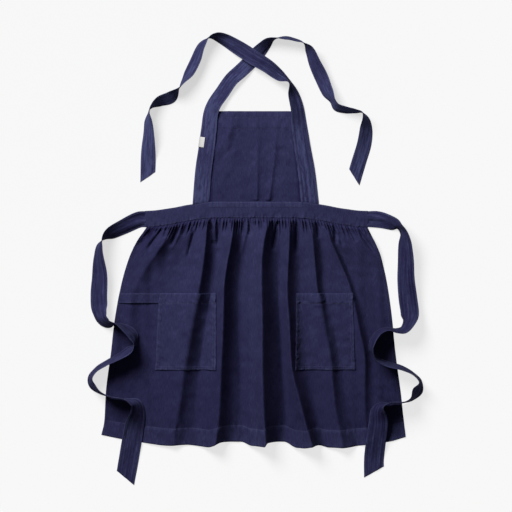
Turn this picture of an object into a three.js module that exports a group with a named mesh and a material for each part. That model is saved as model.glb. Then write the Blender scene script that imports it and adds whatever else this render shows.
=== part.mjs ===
// A pinafore apron lying flat on its back: bib, crossed shoulder straps, waistband, waist ties,
// gathered skirt, two patch pockets, a towel loop and a side label.
// Millimetres, +Z up. The apron lies on z = 0 with its bib towards +Y, and the origin is under the
// middle of its box. Left and right are as seen from above.
import * as THREE from 'three';

// Cloth: its wall, the gap between pieces, and how many times the wall may grow upright on a slope
const CLOTH = 1.6;
const GAP = 0.3;
const STEEPEST = 3.2;
const STRAP_WIDTH = 38;
const TIE_WIDTH = 51;

// Waistband: level between -levelTo and levelTo, drooping to both ends
const WAISTBAND = {
  left: -287,
  right: 292,
  middle: 129,
  height: 42,
  thickness: 3,
  levelTo: 100,
  droop: 24,
  droopAt: 290,
  segments: 28,
};

// Skirt: its side edges, the warp lines that the pocket sides lie on, its hem and its folds.
// The gathered cloth puffs up below the seam. puffEnds, fadesAt and seam are levels, 0 at the waist and 1 at
// the pocket mouths; over the levels in seam the cloth climbs out of the waistband.
const POCKET_MOUTH = -88;
const POCKET_FOOT = -286;
const LOOP_WIDTH = 25;
const GATHER = { puff: 7, puffEnds: [0.15, 0.75], rise: 3.5, fadesAt: 0.35, seam: [-0.02, 0.1] };
const COLUMNS_PER_SPAN = [8, 17, 17, 17, 17, 8];
const ROWS = { waistToMouth: 7, besideLoop: 1, loopToFoot: 5, footToHem: 6 };

const SKIRT_SIDES = [
  { y: -462, left: -402, right: 390 },
  { y: -420, left: -392, right: 385 },
  { y: -345, left: -388, right: 377 },
  { y: -240, left: -375, right: 363 },
  { y: -150, left: -364, right: 354 },
  { y: -60, left: -347, right: 341 },
  { y: 8, left: -326, right: 325 },
  { y: 50, left: -305, right: 307 },
  { y: 84, left: -282, right: 291 },
];

// x at the waist, the pocket mouths, the pocket feet and the hem
const WARP_LINES = [
  { name: 'left pocket, outer side', x: [-190, -249, -260, -285] },
  { name: 'left pocket, inner side', x: [-80, -101, -101, -112] },
  { name: 'middle', x: [5, 10, 12, 14] },
  { name: 'right pocket, inner side', x: [92, 105, 102, 112] },
  { name: 'right pocket, outer side', x: [190, 251, 259, 285] },
];

const HEM = [
  { x: -402, y: -455 },
  { x: -365, y: -463 },
  { x: -287, y: -476 },
  { x: -225, y: -483 },
  { x: -178, y: -481 },
  { x: -126, y: -486 },
  { x: -84, y: -473 },
  { x: -38, y: -473 },
  { x: -9, y: -483 },
  { x: 22, y: -483 },
  { x: 33, y: -473 },
  { x: 74, y: -473 },
  { x: 108, y: -488 },
  { x: 121, y: -488 },
  { x: 162, y: -481 },
  { x: 191, y: -488 },
  { x: 225, y: -488 },
  { x: 272, y: -483 },
  { x: 347, y: -473 },
  { x: 390, y: -461 },
];

// A fold climbs from its left foot to its crest and down to its right foot. A column in brackets gives values
// at these rows of the skirt.
const FOLD_ROWS = [-485, -378, -266, -170, -74, -6, 51, 105];

const SKIRT_FOLDS = [
  { left: [-440, -430, -420, -410, -390, -340, -290, -252],
    crest: [-373, -363, -340, -318, -291, -254, -230, -206],
    right: [-330, -315, -290, -270, -255, -226, -208, -192],
    rise: [0, 0, 3, 8, 13, 17, 17, 14] },
  { left: [-300, -300, -300, -282, -252, -208, -172, -152],
    crest: [-217, -202, -192, -178, -150, -136, -130, -127],
    right: [-160, -148, -136, -125, -115, -104, -106, -112],
    rise: [12, 24, 30, 32, 30, 28, 25, 19] },
  { left: [-160, -168, -160, -147, -128, -117, -104, -100],
    crest: [-107, -97, -92, -88, -86, -76, -64, -58],
    right: [-68, -39, -34, -37, -35, -31, -34, -42],
    rise: [50, 56, 58, 56, 51, 44, 35, 23] },
  { left: [-38, -46, -50, -54, -54, -46, -40, -30],
    crest: [26, 17, 14, 14, 12, 13, 20, 36],
    right: [62, 92, 89, 80, 72, 62, 54, 50],
    rise: [64, 70, 69, 64, 55, 48, 38, 24] },
  { left: [72, 64, 58, 56, 53, 54, 58, 58],
    crest: [146, 114, 89, 83, 77, 80, 84, 87],
    right: [179, 161, 137, 127, 122, 118, 109, 102],
    rise: [56, 50, 42, 38, 35, 32, 28, 20] },
  { left: [176, 152, 145, 130, 108, 110, 112, 110],
    crest: [222, 203, 192, 174, 157, 151, 147, 142],
    right: [280, 244, 228, 206, 182, 176, 168, 155],
    rise: [28, 25, 24, 22, 23, 23, 21, 15] },
  { left: [242, 228, 210, 190, 180, 174, 164, 157],
    crest: [290, 281, 281, 264, 243, 215, 191, 176],
    right: [318, 306, 304, 287, 261, 232, 207, 190],
    rise: [3, 11, 18, 20, 18, 17, 15, 11] },
];

// Pockets and towel loop: how far the slack cloth stands off the skirt
const POCKET_SLACK = 11;
const LOOP_SLACK = 9;

// Bib: its visible sides, the lap under each side band and its folds
const BIB_TOP = 385;
const BIB_LAP = 15;
const BIB_COLUMNS = 18;
const BIB_ROWS = 9;

const BIB_SIDES = [
  { y: 140, left: -121, right: 119 },
  { y: 230, left: -114, right: 110 },
  { y: 300, left: -104, right: 100 },
  { y: 390, left: -100, right: 92 },
];

const BIB_FOLD_ROWS = [150, 267, 385];

const BIB_FOLDS = [
  { left: [-102, -92, -88], crest: [-83, -72, -68], right: [-47, -31, -22], rise: [0, 1.6, 3.2] },
  { left: [-18, -25, -28], crest: [4, 8, 10], right: [15, 25, 33], rise: [4.5, 1.4, 0] },
  { left: [12, 23, 31], crest: [31, 46, 56], right: [43, 62, 74], rise: [5.5, 3.2, 0] },
];

// Straps and ties are ribbons. roll: degrees that the ribbon is turned about its own line, from lying
// with its face up; lift: the height that its lower edge lies at; width: as cut, less where it is pleated in.
const BAND_LIFT = CLOTH + GAP;
const STEPS_PER_ROW = 3;

const LEFT_STRAP = [
  { x: -142, y: 147, roll: 0, lift: BAND_LIFT, width: 42 },
  { x: -135, y: 233, roll: 0, lift: BAND_LIFT, width: 42 },
  { x: -127, y: 290, roll: 0, lift: BAND_LIFT, width: 41 },
  { x: -121, y: 337, roll: 0, lift: BAND_LIFT, width: 40 },
  { x: -116, y: 380, roll: -25, lift: BAND_LIFT, width: STRAP_WIDTH },
  { x: -107, y: 403, roll: -25, lift: 2, width: STRAP_WIDTH },
  { x: -87, y: 433, roll: -14, lift: 1, width: STRAP_WIDTH },
  { x: -62, y: 468, roll: -20, lift: 0, width: STRAP_WIDTH },
  { x: -38, y: 490, roll: -14, lift: 0, width: STRAP_WIDTH },
  { x: -5, y: 523, roll: 4, lift: 0, width: STRAP_WIDTH },
  { x: 17, y: 547, roll: 36, lift: 0, width: STRAP_WIDTH },
  { x: 34, y: 563, roll: 58, lift: 0, width: STRAP_WIDTH },
  { x: 51, y: 573, roll: 84, lift: 0, width: STRAP_WIDTH },
  { x: 79, y: 577, roll: 92, lift: 0, width: STRAP_WIDTH },
  { x: 105, y: 572, roll: 92, lift: 0, width: STRAP_WIDTH },
  { x: 125, y: 562, roll: 84, lift: 0, width: STRAP_WIDTH },
  { x: 139, y: 545, roll: 60, lift: 0, width: STRAP_WIDTH },
  { x: 153, y: 511, roll: 42, lift: 0, width: STRAP_WIDTH },
  { x: 170, y: 474, roll: 30, lift: 0, width: STRAP_WIDTH },
  { x: 187, y: 435, roll: 42, lift: 0, width: STRAP_WIDTH },
  { x: 200, y: 410, roll: 72, lift: 0, width: STRAP_WIDTH },
  { x: 212, y: 394, roll: 66, lift: 0, width: STRAP_WIDTH },
  { x: 233, y: 387, roll: 68, lift: 0, width: STRAP_WIDTH },
  { x: 259, y: 384, roll: 80, lift: 0, width: STRAP_WIDTH },
  { x: 276, y: 381, roll: 92, lift: 0, width: STRAP_WIDTH },
  { x: 286, y: 364, roll: 122, lift: 0, width: STRAP_WIDTH },
  { x: 287, y: 337, roll: 150, lift: 0, width: STRAP_WIDTH },
  { x: 282, y: 298, roll: 168, lift: 0, width: STRAP_WIDTH },
  { x: 269, y: 253, roll: 178, lift: 0, width: STRAP_WIDTH },
  { x: 257, y: 214, roll: 180, lift: 0, width: STRAP_WIDTH },
];

const RIGHT_STRAP = [
  { x: 142, y: 147, roll: 0, lift: BAND_LIFT, width: 45 },
  { x: 133, y: 227, roll: 0, lift: BAND_LIFT, width: 44 },
  { x: 122, y: 292, roll: 0, lift: BAND_LIFT, width: 42 },
  { x: 114, y: 348, roll: 8, lift: BAND_LIFT, width: 40 },
  { x: 109, y: 390, roll: 25, lift: BAND_LIFT, width: STRAP_WIDTH },
  { x: 99, y: 428, roll: 38, lift: 1, width: STRAP_WIDTH },
  { x: 90, y: 459, roll: 60, lift: 0, width: STRAP_WIDTH },
  { x: 66, y: 480, roll: 55, lift: 0, width: STRAP_WIDTH },
  { x: 33, y: 502, roll: 28, lift: 9, width: STRAP_WIDTH },
  { x: -5, y: 523, roll: 6, lift: 16, width: STRAP_WIDTH },
  { x: -40, y: 546, roll: -16, lift: 9, width: STRAP_WIDTH },
  { x: -77, y: 568, roll: -38, lift: 0, width: STRAP_WIDTH },
  { x: -100, y: 577, roll: -58, lift: 0, width: STRAP_WIDTH },
  { x: -120, y: 575, roll: -90, lift: 0, width: STRAP_WIDTH },
  { x: -139, y: 555, roll: -122, lift: 0, width: STRAP_WIDTH },
  { x: -155, y: 519, roll: -135, lift: 0, width: STRAP_WIDTH },
  { x: -170, y: 487, roll: -135, lift: 0, width: STRAP_WIDTH },
  { x: -187, y: 461, roll: -110, lift: 0, width: STRAP_WIDTH },
  { x: -198, y: 445, roll: -90, lift: 0, width: STRAP_WIDTH },
  { x: -220, y: 420, roll: -52, lift: 0, width: STRAP_WIDTH },
  { x: -248, y: 410, roll: -62, lift: 0, width: STRAP_WIDTH },
  { x: -272, y: 393, roll: -88, lift: 0, width: STRAP_WIDTH },
  { x: -276, y: 381, roll: -100, lift: 0, width: STRAP_WIDTH },
  { x: -278, y: 360, roll: -121, lift: 0, width: STRAP_WIDTH },
  { x: -277, y: 331, roll: -138, lift: 0, width: STRAP_WIDTH },
  { x: -278, y: 290, roll: -160, lift: 0, width: STRAP_WIDTH },
  { x: -279, y: 251, roll: -178, lift: 0, width: STRAP_WIDTH },
  { x: -280, y: 214, roll: -180, lift: 0, width: STRAP_WIDTH },
];

const LEFT_TIE = [
  { x: -288, y: 105, roll: 0, lift: 0.7, width: 40 },
  { x: -303, y: 103, roll: -8, lift: 0.6, width: 42 },
  { x: -342, y: 85, roll: -25, lift: 0.3, width: 42 },
  { x: -373, y: 69, roll: -48, lift: 0, width: 46 },
  { x: -394, y: 52, roll: -88, lift: 0, width: TIE_WIDTH },
  { x: -403, y: 35, roll: -112, lift: 0, width: TIE_WIDTH },
  { x: -406, y: 4, roll: -126, lift: 0, width: TIE_WIDTH },
  { x: -404, y: -40, roll: -143, lift: 0, width: TIE_WIDTH },
  { x: -406, y: -84, roll: -150, lift: 0, width: TIE_WIDTH },
  { x: -406, y: -113, roll: -150, lift: 0, width: TIE_WIDTH },
  { x: -404, y: -134, roll: -140, lift: 0, width: TIE_WIDTH },
  { x: -398, y: -153, roll: -128, lift: 1, width: TIE_WIDTH },
  { x: -381, y: -166, roll: -118, lift: 4, width: TIE_WIDTH },
  { x: -360, y: -165, roll: -90, lift: 7, width: TIE_WIDTH },
  { x: -337, y: -177, roll: -72, lift: 8.5, width: TIE_WIDTH },
  { x: -316, y: -196, roll: -64, lift: 9.5, width: TIE_WIDTH },
  { x: -312, y: -217, roll: -86, lift: 9, width: TIE_WIDTH },
  { x: -328, y: -235, roll: -110, lift: 7.5, width: TIE_WIDTH },
  { x: -357, y: -253, roll: -107, lift: 6, width: TIE_WIDTH },
  { x: -386, y: -268, roll: -103, lift: 4, width: TIE_WIDTH },
  { x: -412, y: -285, roll: -102, lift: 0, width: TIE_WIDTH },
  { x: -427, y: -306, roll: -107, lift: 0, width: TIE_WIDTH },
  { x: -422, y: -327, roll: -113, lift: 0, width: TIE_WIDTH },
  { x: -404, y: -343, roll: -104, lift: 2, width: TIE_WIDTH },
  { x: -378, y: -354, roll: -97, lift: 5, width: TIE_WIDTH },
  { x: -352, y: -359, roll: -97, lift: 6, width: TIE_WIDTH },
  { x: -328, y: -363, roll: -82, lift: 6, width: TIE_WIDTH },
  { x: -309, y: -374, roll: -62, lift: 6, width: TIE_WIDTH },
  { x: -305, y: -396, roll: -46, lift: 6, width: TIE_WIDTH },
  { x: -313, y: -428, roll: -20, lift: 6, width: TIE_WIDTH },
  { x: -322, y: -477, roll: -4, lift: 5, width: TIE_WIDTH },
  { x: -331, y: -529, roll: 0, lift: 0.5, width: TIE_WIDTH },
  { x: -338, y: -568, roll: 0, lift: 0, width: TIE_WIDTH },
];

const RIGHT_TIE = [
  { x: 293, y: 105, roll: 0, lift: 0.7, width: 40 },
  { x: 316, y: 104, roll: 8, lift: 0.6, width: 42 },
  { x: 339, y: 99, roll: 22, lift: 0.3, width: 41 },
  { x: 360, y: 91, roll: 45, lift: 0, width: 44 },
  { x: 374, y: 83, roll: 78, lift: 0, width: TIE_WIDTH },
  { x: 384, y: 69, roll: 72, lift: 0, width: TIE_WIDTH },
  { x: 387, y: 43, roll: 54, lift: 0, width: TIE_WIDTH },
  { x: 389, y: 4, roll: 44, lift: 0, width: TIE_WIDTH },
  { x: 390, y: -45, roll: 35, lift: 0, width: TIE_WIDTH },
  { x: 396, y: -105, roll: 25, lift: 0, width: TIE_WIDTH },
  { x: 400, y: -142, roll: 30, lift: 0, width: TIE_WIDTH },
  { x: 397, y: -163, roll: 56, lift: 0, width: TIE_WIDTH },
  { x: 384, y: -182, roll: 70, lift: 1, width: TIE_WIDTH },
  { x: 365, y: -184, roll: 79, lift: 5, width: TIE_WIDTH },
  { x: 344, y: -179, roll: 83, lift: 8, width: TIE_WIDTH },
  { x: 321, y: -187, roll: 78, lift: 10, width: TIE_WIDTH },
  { x: 303, y: -209, roll: 76, lift: 12, width: TIE_WIDTH },
  { x: 299, y: -233, roll: 82, lift: 13, width: TIE_WIDTH },
  { x: 313, y: -255, roll: 100, lift: 11, width: TIE_WIDTH },
  { x: 344, y: -270, roll: 104, lift: 7, width: TIE_WIDTH },
  { x: 381, y: -282, roll: 101, lift: 4, width: TIE_WIDTH },
  { x: 409, y: -295, roll: 97, lift: 0, width: TIE_WIDTH },
  { x: 426, y: -316, roll: 103, lift: 0, width: TIE_WIDTH },
  { x: 420, y: -340, roll: 126, lift: 0, width: TIE_WIDTH },
  { x: 405, y: -361, roll: 106, lift: 0, width: TIE_WIDTH },
  { x: 381, y: -369, roll: 95, lift: 4, width: TIE_WIDTH },
  { x: 352, y: -371, roll: 97, lift: 7, width: TIE_WIDTH },
  { x: 326, y: -376, roll: 78, lift: 9.5, width: TIE_WIDTH },
  { x: 317, y: -393, roll: 44, lift: 10, width: TIE_WIDTH },
  { x: 318, y: -425, roll: 18, lift: 9.5, width: TIE_WIDTH },
  { x: 312, y: -477, roll: 4, lift: 6, width: TIE_WIDTH },
  { x: 308, y: -521, roll: 0, lift: 0.5, width: TIE_WIDTH },
  { x: 308, y: -552, roll: 0, lift: 0, width: TIE_WIDTH },
];

// How far one edge of a ribbon's end is cut longer than the other: positive on the edge that roll lifts
const END_CUTS = {
  leftStrap: { start: -9.5, end: -33 },
  rightStrap: { start: 10.5, end: 28 },
  leftTie: { start: 5.3, end: 28.5 },
  rightTie: { start: -1.7, end: -29 },
};

// Label: a small tab over the left band's outer edge
const LABEL = { width: 14, length: 26, thickness: 1, x: -140, y: 305, turn: -0.13 };

const navyTwill = new THREE.MeshStandardMaterial({ color: 0x2b2c48, roughness: 0.92, metalness: 0 });
const whiteTape = new THREE.MeshStandardMaterial({ color: 0xeeeeec, roughness: 0.85, metalness: 0 });

const { lerp, smoothstep, clamp, degToRad } = THREE.MathUtils;

// A curve through a table's values that never swings past them: a cubic between neighbours, whose slope at
// each row is the harmonic mean of the slopes to either side, or level at a turn.
function tableCurve(places, values) {
  const last = places.length - 1;
  const chord = (i) => (values[i + 1] - values[i]) / (places[i + 1] - places[i]);
  const slopes = places.map((_, i) => {
    const before = chord(Math.max(i - 1, 0));
    const after = chord(Math.min(i, last - 1));
    return before * after > 0 ? (2 * before * after) / (before + after) : 0;
  });
  return (place) => {
    const upper = places.findIndex((p, i) => i > 0 && (place <= p || i === last));
    const lower = upper - 1;
    const step = places[upper] - places[lower];
    const t = clamp((place - places[lower]) / step, 0, 1);
    const ease = t * t * (3 - 2 * t);
    const leave = t * (1 - t) * (1 - t) * step * slopes[lower];
    const arrive = t * t * (1 - t) * step * slopes[upper];
    return lerp(values[lower], values[upper], ease) + leave - arrive;
  };
}

const readColumn = (rows, column) => rows.map((row) => row[column]);
const columnCurve = (rows, place, value) => tableCurve(readColumn(rows, place), readColumn(rows, value));
const levelCurve = (values) => tableCurve(values.map((_, level) => level), values);

// A table of folds as functions of y, and the height of the cloth that they raise. Each side of a fold climbs
// as the square of the share of its way to the crest, and the lower of the two sides counts, rounded where
// they meet. Folds that run together join in a rounded ridge: the cube root of the sum of their cubes.
const readFolds = (folds, rows) => folds.map((fold) => Object.fromEntries(
  Object.entries(fold).map(([column, values]) => [column, tableCurve(rows, values)]),
));

function foldHeight(folds, x, y) {
  const climb = (share) => Math.max(share, 0.001) ** 2;
  const cubes = folds.map((fold) => {
    const crest = fold.crest(y);
    const left = climb((x - fold.left(y)) / (crest - fold.left(y)));
    const right = climb((fold.right(y) - x) / (fold.right(y) - crest));
    return (fold.rise(y) * (left ** -4 + right ** -4) ** -0.25) ** 3;
  });
  return Math.cbrt(cubes.reduce((sum, cube) => sum + cube, 0));
}

// Evenly spread places: counts[i] steps from stops[i] to stops[i + 1]
function spread(stops, counts) {
  const places = counts.flatMap((count, i) => (
    Array.from({ length: count }, (_, step) => lerp(stops[i], stops[i + 1], step / count))
  ));
  return [...places, stops[stops.length - 1]];
}

// The closed wall between two lattices of points. Rows run away from the viewer's head, columns to the right,
// and the over lattice is the face that looks up.
function clothWall(under, over) {
  const rows = under.length - 1;
  const columns = under[0].length - 1;
  const points = [...under.flat(), ...over.flat()];
  const layer = under.flat().length;
  const below = (row, column) => row * (columns + 1) + column;
  const above = (row, column) => layer + below(row, column);
  const triangles = [];
  const quad = (a, b, c, d) => triangles.push(a, b, c, a, c, d);
  for (let row = 0; row < rows; row += 1) {
    for (let column = 0; column < columns; column += 1) {
      quad(above(row, column), above(row + 1, column), above(row + 1, column + 1), above(row, column + 1));
      quad(below(row + 1, column + 1), below(row + 1, column), below(row, column), below(row, column + 1));
    }
    quad(above(row + 1, 0), above(row, 0), below(row, 0), below(row + 1, 0));
    quad(above(row, columns), above(row + 1, columns), below(row + 1, columns), below(row, columns));
  }
  for (let column = 0; column < columns; column += 1) {
    quad(above(0, column), above(0, column + 1), below(0, column + 1), below(0, column));
    quad(above(rows, column + 1), above(rows, column), below(rows, column), below(rows, column + 1));
  }
  const geometry = new THREE.BufferGeometry().setFromPoints(points);
  geometry.setIndex(triangles);
  geometry.computeVertexNormals();
  return geometry;
}

// How many times thicker a sloping lattice is upright than across the cloth, at each of its points
function upright(lattice) {
  const nearest = (list, index) => list[clamp(index, 0, list.length - 1)];
  const at = (row, column) => nearest(nearest(lattice, row), column);
  return lattice.map((points, row) => points.map((_, column) => {
    const across = at(row, column + 1).clone().sub(at(row, column - 1));
    const down = at(row + 1, column).clone().sub(at(row - 1, column));
    const normal = down.cross(across).normalize();
    return Math.min(1 / Math.abs(normal.z), STEEPEST);
  }));
}

const raised = (lattice, height) => lattice.map((points, row) => points.map((point, column) => (
  new THREE.Vector3(point.x, point.y, point.z + height(row, column))
)));

// Waistband
function waistMiddle(x) {
  return WAISTBAND.middle - WAISTBAND.droop * smoothstep(Math.abs(x), WAISTBAND.levelTo, WAISTBAND.droopAt);
}

const waistTop = (x) => waistMiddle(x) + WAISTBAND.height / 2;
const waistBottom = (x) => waistMiddle(x) - WAISTBAND.height / 2;

function waistbandGeometry() {
  const stations = spread([WAISTBAND.left, WAISTBAND.right], [WAISTBAND.segments]);
  const bottom = stations.map((x) => new THREE.Vector2(x, waistBottom(x)));
  const top = stations.map((x) => new THREE.Vector2(x, waistTop(x))).reverse();
  const outline = new THREE.Shape([...bottom, ...top]);
  return new THREE.ExtrudeGeometry(outline, { depth: WAISTBAND.thickness, bevelEnabled: false });
}

// Skirt: a lattice whose columns run with the warp lines, lifted by the folds and by a gather on every
// second column
const LEVEL = { waist: 0, mouth: 1, foot: 2, hem: 3 };
const LINE = { leftEdge: 0, leftPocket: 1, rightPocket: 4 };
const LOOP_FOOT = LEVEL.mouth + LOOP_WIDTH / (POCKET_MOUTH - POCKET_FOOT);

const skirtLevels = spread(
  [LEVEL.waist, LEVEL.mouth, LOOP_FOOT, LEVEL.foot, LEVEL.hem],
  [ROWS.waistToMouth, ROWS.besideLoop, ROWS.loopToFoot, ROWS.footToHem],
);
const skirtColumns = spread([...COLUMNS_PER_SPAN.keys(), COLUMNS_PER_SPAN.length], COLUMNS_PER_SPAN);

function skirtLattice() {
  const leftEdge = columnCurve(SKIRT_SIDES, 'y', 'left');
  const rightEdge = columnCurve(SKIRT_SIDES, 'y', 'right');
  const warpLines = WARP_LINES.map((line) => levelCurve(line.x));
  const hemline = columnCurve(HEM, 'x', 'y');
  const folds = readFolds(SKIRT_FOLDS, FOLD_ROWS);
  const across = (column, level, y) => {
    const lines = [leftEdge(y), ...warpLines.map((line) => line(level)), rightEdge(y)];
    const span = Math.min(Math.floor(column), lines.length - 2);
    return lerp(lines[span], lines[span + 1], column - span);
  };
  const waistEnd = SKIRT_SIDES[SKIRT_SIDES.length - 1].y;
  const down = (column, level) => {
    const waistX = across(column, LEVEL.waist, waistEnd);
    const hemX = across(column, LEVEL.hem, SKIRT_SIDES[0].y);
    const stops = [waistBottom(waistX) - GAP, POCKET_MOUTH, POCKET_FOOT, hemline(hemX)];
    const span = Math.min(Math.floor(level), stops.length - 2);
    return lerp(stops[span], stops[span + 1], level - span);
  };
  return skirtLevels.map((level) => skirtColumns.map((column, index) => {
    const y = down(column, level);
    const x = across(column, level, y);
    const puff = GATHER.puff * (1 - smoothstep(level, ...GATHER.puffEnds));
    const gather = (index % 2) * GATHER.rise * (1 - smoothstep(level, 0, GATHER.fadesAt));
    const height = foldHeight(folds, x, y) + puff + gather;
    return new THREE.Vector3(x, y, height * smoothstep(level, ...GATHER.seam));
  }));
}

const skirtUnder = skirtLattice();
const skirtUpright = upright(skirtUnder);
const skirtOver = raised(skirtUnder, (row, column) => CLOTH * skirtUpright[row][column]);

// A patch on the skirt: the span of its lattice to the right of a line, between two levels, a gap above it.
// slack gives how far the cloth stands off, from the shares of the way across and down.
function patchOnSkirt(line, firstLevel, lastLevel, slack) {
  const cut = (table) => table
    .slice(skirtLevels.indexOf(firstLevel), skirtLevels.indexOf(lastLevel) + 1)
    .map((cells) => cells.slice(skirtColumns.indexOf(line), skirtColumns.indexOf(line + 1) + 1));
  const ground = cut(skirtOver);
  const steep = cut(skirtUpright);
  const rows = ground.length - 1;
  const columns = ground[0].length - 1;
  const standOff = (row, column) => GAP * steep[row][column] + slack(column / columns, row / rows);
  const under = raised(ground, standOff);
  return { under, over: raised(under, (row, column) => CLOTH * steep[row][column]) };
}

function pocketGeometry(line) {
  const slack = (across, down) => POCKET_SLACK * Math.sin(Math.PI * across) * Math.cos((Math.PI / 2) * down);
  const { under, over } = patchOnSkirt(line, LEVEL.mouth, LEVEL.foot, slack);
  return clothWall(under, over);
}

// The loop stops a gap short of the pocket that its right end is sewn to.
function towelLoopGeometry(line) {
  const slack = (across) => LOOP_SLACK * Math.sin(Math.PI * across);
  const { under, over } = patchOnSkirt(line, LEVEL.mouth, LOOP_FOOT, slack);
  for (const points of [...under, ...over]) {
    points[points.length - 1].x -= GAP;
  }
  return clothWall(under, over);
}

// Bib: from the top hem down to the waistband, lapped under both side bands
function bibGeometry() {
  const leftEdge = columnCurve(BIB_SIDES, 'y', 'left');
  const rightEdge = columnCurve(BIB_SIDES, 'y', 'right');
  const folds = readFolds(BIB_FOLDS, BIB_FOLD_ROWS);
  const under = spread([0, 1], [BIB_ROWS]).map((down) => spread([0, 1], [BIB_COLUMNS]).map((across) => {
    const footX = lerp(leftEdge(waistTop(0)) - BIB_LAP, rightEdge(waistTop(0)) + BIB_LAP, across);
    const y = lerp(BIB_TOP, waistTop(footX) + GAP, down);
    const x = lerp(leftEdge(y) - BIB_LAP, rightEdge(y) + BIB_LAP, across);
    return new THREE.Vector3(x, y, foldHeight(folds, x, y));
  }));
  const thick = upright(under);
  return clothWall(under, raised(under, (row, column) => CLOTH * thick[row][column]));
}

// A ribbon along a route. Its width points to the left of the way that it runs, turned up by roll, and its
// lower edge lies at lift. The cuts slant its two ends.
function ribbonGeometry(route, cuts) {
  const plan = new THREE.CatmullRomCurve3(route.map((row) => new THREE.Vector3(row.x, row.y, 0)));
  const roll = levelCurve(readColumn(route, 'roll'));
  const lift = levelCurve(readColumn(route, 'lift'));
  const width = levelCurve(readColumn(route, 'width'));
  const last = route.length - 1;
  const up = new THREE.Vector3(0, 0, 1);
  const sections = spread([0, last], [last * STEPS_PER_ROW]).map((place) => {
    const turn = degToRad(roll(place));
    const half = width(place) / 2;
    const along = plan.getTangent(place / last);
    const left = up.clone().cross(along);
    const edge = left.clone().multiplyScalar(Math.cos(turn)).addScaledVector(up, Math.sin(turn));
    const face = along.clone().cross(edge).multiplyScalar(CLOTH / 2);
    const centre = plan.getPoint(place / last);
    centre.z = lift(place) + half * Math.abs(Math.sin(turn)) + Math.abs(face.z);
    const slant = cuts.start * Math.max(1 - place, 0) + cuts.end * Math.max(place - last + 1, 0);
    return [-1, 1].map((side) => ({
      middle: centre.clone().addScaledVector(edge, side * half).addScaledVector(along, (side * slant) / 2),
      face,
    }));
  });
  const layer = (side) => sections.map((section) => section.map(({ middle, face }) => (
    middle.clone().addScaledVector(face, side)
  )));
  return clothWall(layer(-1), layer(1));
}

// The label lies a gap above the band.
function labelGeometry() {
  const bandTop = BAND_LIFT + CLOTH;
  return new THREE.BoxGeometry(LABEL.width, LABEL.length, LABEL.thickness)
    .rotateZ(LABEL.turn)
    .translate(LABEL.x, LABEL.y, bandTop + GAP + LABEL.thickness / 2);
}

const apron = new THREE.Group();

function addPiece(name, geometry, material = navyTwill) {
  const piece = new THREE.Mesh(geometry, material);
  piece.name = name;
  apron.add(piece);
}

addPiece('waistband', waistbandGeometry());
addPiece('bib', bibGeometry());
addPiece('left_strap', ribbonGeometry(LEFT_STRAP, END_CUTS.leftStrap));
addPiece('right_strap', ribbonGeometry(RIGHT_STRAP, END_CUTS.rightStrap));
addPiece('left_waist_tie', ribbonGeometry(LEFT_TIE, END_CUTS.leftTie));
addPiece('right_waist_tie', ribbonGeometry(RIGHT_TIE, END_CUTS.rightTie));
addPiece('skirt', clothWall(skirtUnder, skirtOver));
addPiece('left_pocket', pocketGeometry(LINE.leftPocket));
addPiece('right_pocket', pocketGeometry(LINE.rightPocket));
addPiece('towel_loop', towelLoopGeometry(LINE.leftEdge));
addPiece('label', labelGeometry(), whiteTape);

// The tables measure from a point near the middle; this puts the origin under the middle of the box.
const middle = new THREE.Box3().setFromObject(apron).getCenter(new THREE.Vector3());
for (const piece of apron.children) {
  piece.geometry.translate(-middle.x, -middle.y, 0);
}

export default apron;
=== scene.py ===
# %% [markdown]
# # A pinafore apron, laid flat
# The real apron is sewn from navy cotton twill: a bib whose side bands run on as shoulder straps, a
# waistband with long ties, a gathered skirt, two patch pockets, a towel loop and a small white label.
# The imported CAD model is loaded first, as a fixed frame. Each cloth piece below takes the place of one
# of its nodes and lies in the space which that node holds.

import bpy
import numpy as np
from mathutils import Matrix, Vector


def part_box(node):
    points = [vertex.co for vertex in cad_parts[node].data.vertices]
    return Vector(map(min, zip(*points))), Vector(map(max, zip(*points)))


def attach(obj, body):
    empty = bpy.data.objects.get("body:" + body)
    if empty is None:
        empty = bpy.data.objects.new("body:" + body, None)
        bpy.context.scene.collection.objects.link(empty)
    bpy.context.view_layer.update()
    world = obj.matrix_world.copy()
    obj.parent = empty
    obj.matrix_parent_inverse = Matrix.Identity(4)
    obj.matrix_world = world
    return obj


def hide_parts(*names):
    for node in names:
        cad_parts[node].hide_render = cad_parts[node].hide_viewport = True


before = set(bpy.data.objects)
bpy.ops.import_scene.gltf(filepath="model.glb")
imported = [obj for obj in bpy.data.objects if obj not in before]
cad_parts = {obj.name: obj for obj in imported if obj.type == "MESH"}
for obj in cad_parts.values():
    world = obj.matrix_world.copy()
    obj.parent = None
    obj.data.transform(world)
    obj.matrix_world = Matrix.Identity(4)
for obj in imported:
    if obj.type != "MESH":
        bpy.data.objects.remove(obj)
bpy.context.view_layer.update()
print("CAD nodes:", ", ".join(sorted(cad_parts)))

# %% [markdown]
# ## From the sewing table to the frame
# The shapes are worked out in millimetres, as a dressmaker measures, about a point near the middle of
# the waist. Blender wants metres in the frame's own axes, so one helper scales and moves every point.
# The waistband's CAD box shows where the tables' origin lies in the frame.

# %% Millimetres to metres
MM = 0.001
# the cloth's thickness, and the gap between pieces that are sewn together
CLOTH, GAP = 1.6, 0.3
# the waistband's ends, its middle and height, and how far its ends droop, between which distances
WAIST_LEFT, WAIST_RIGHT = -287, 292
WAIST_MIDDLE, WAIST_HEIGHT = 129, 42
WAIST_DROOP, WAIST_LEVEL_TO, WAIST_DROOP_AT = 24, 100, 290

waist_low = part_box("waistband")[0]
TABLE_ORIGIN = np.array([
    waist_low.x - WAIST_LEFT * MM,
    waist_low.y - (WAIST_MIDDLE - WAIST_DROOP - WAIST_HEIGHT / 2) * MM,
    0,
])


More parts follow.
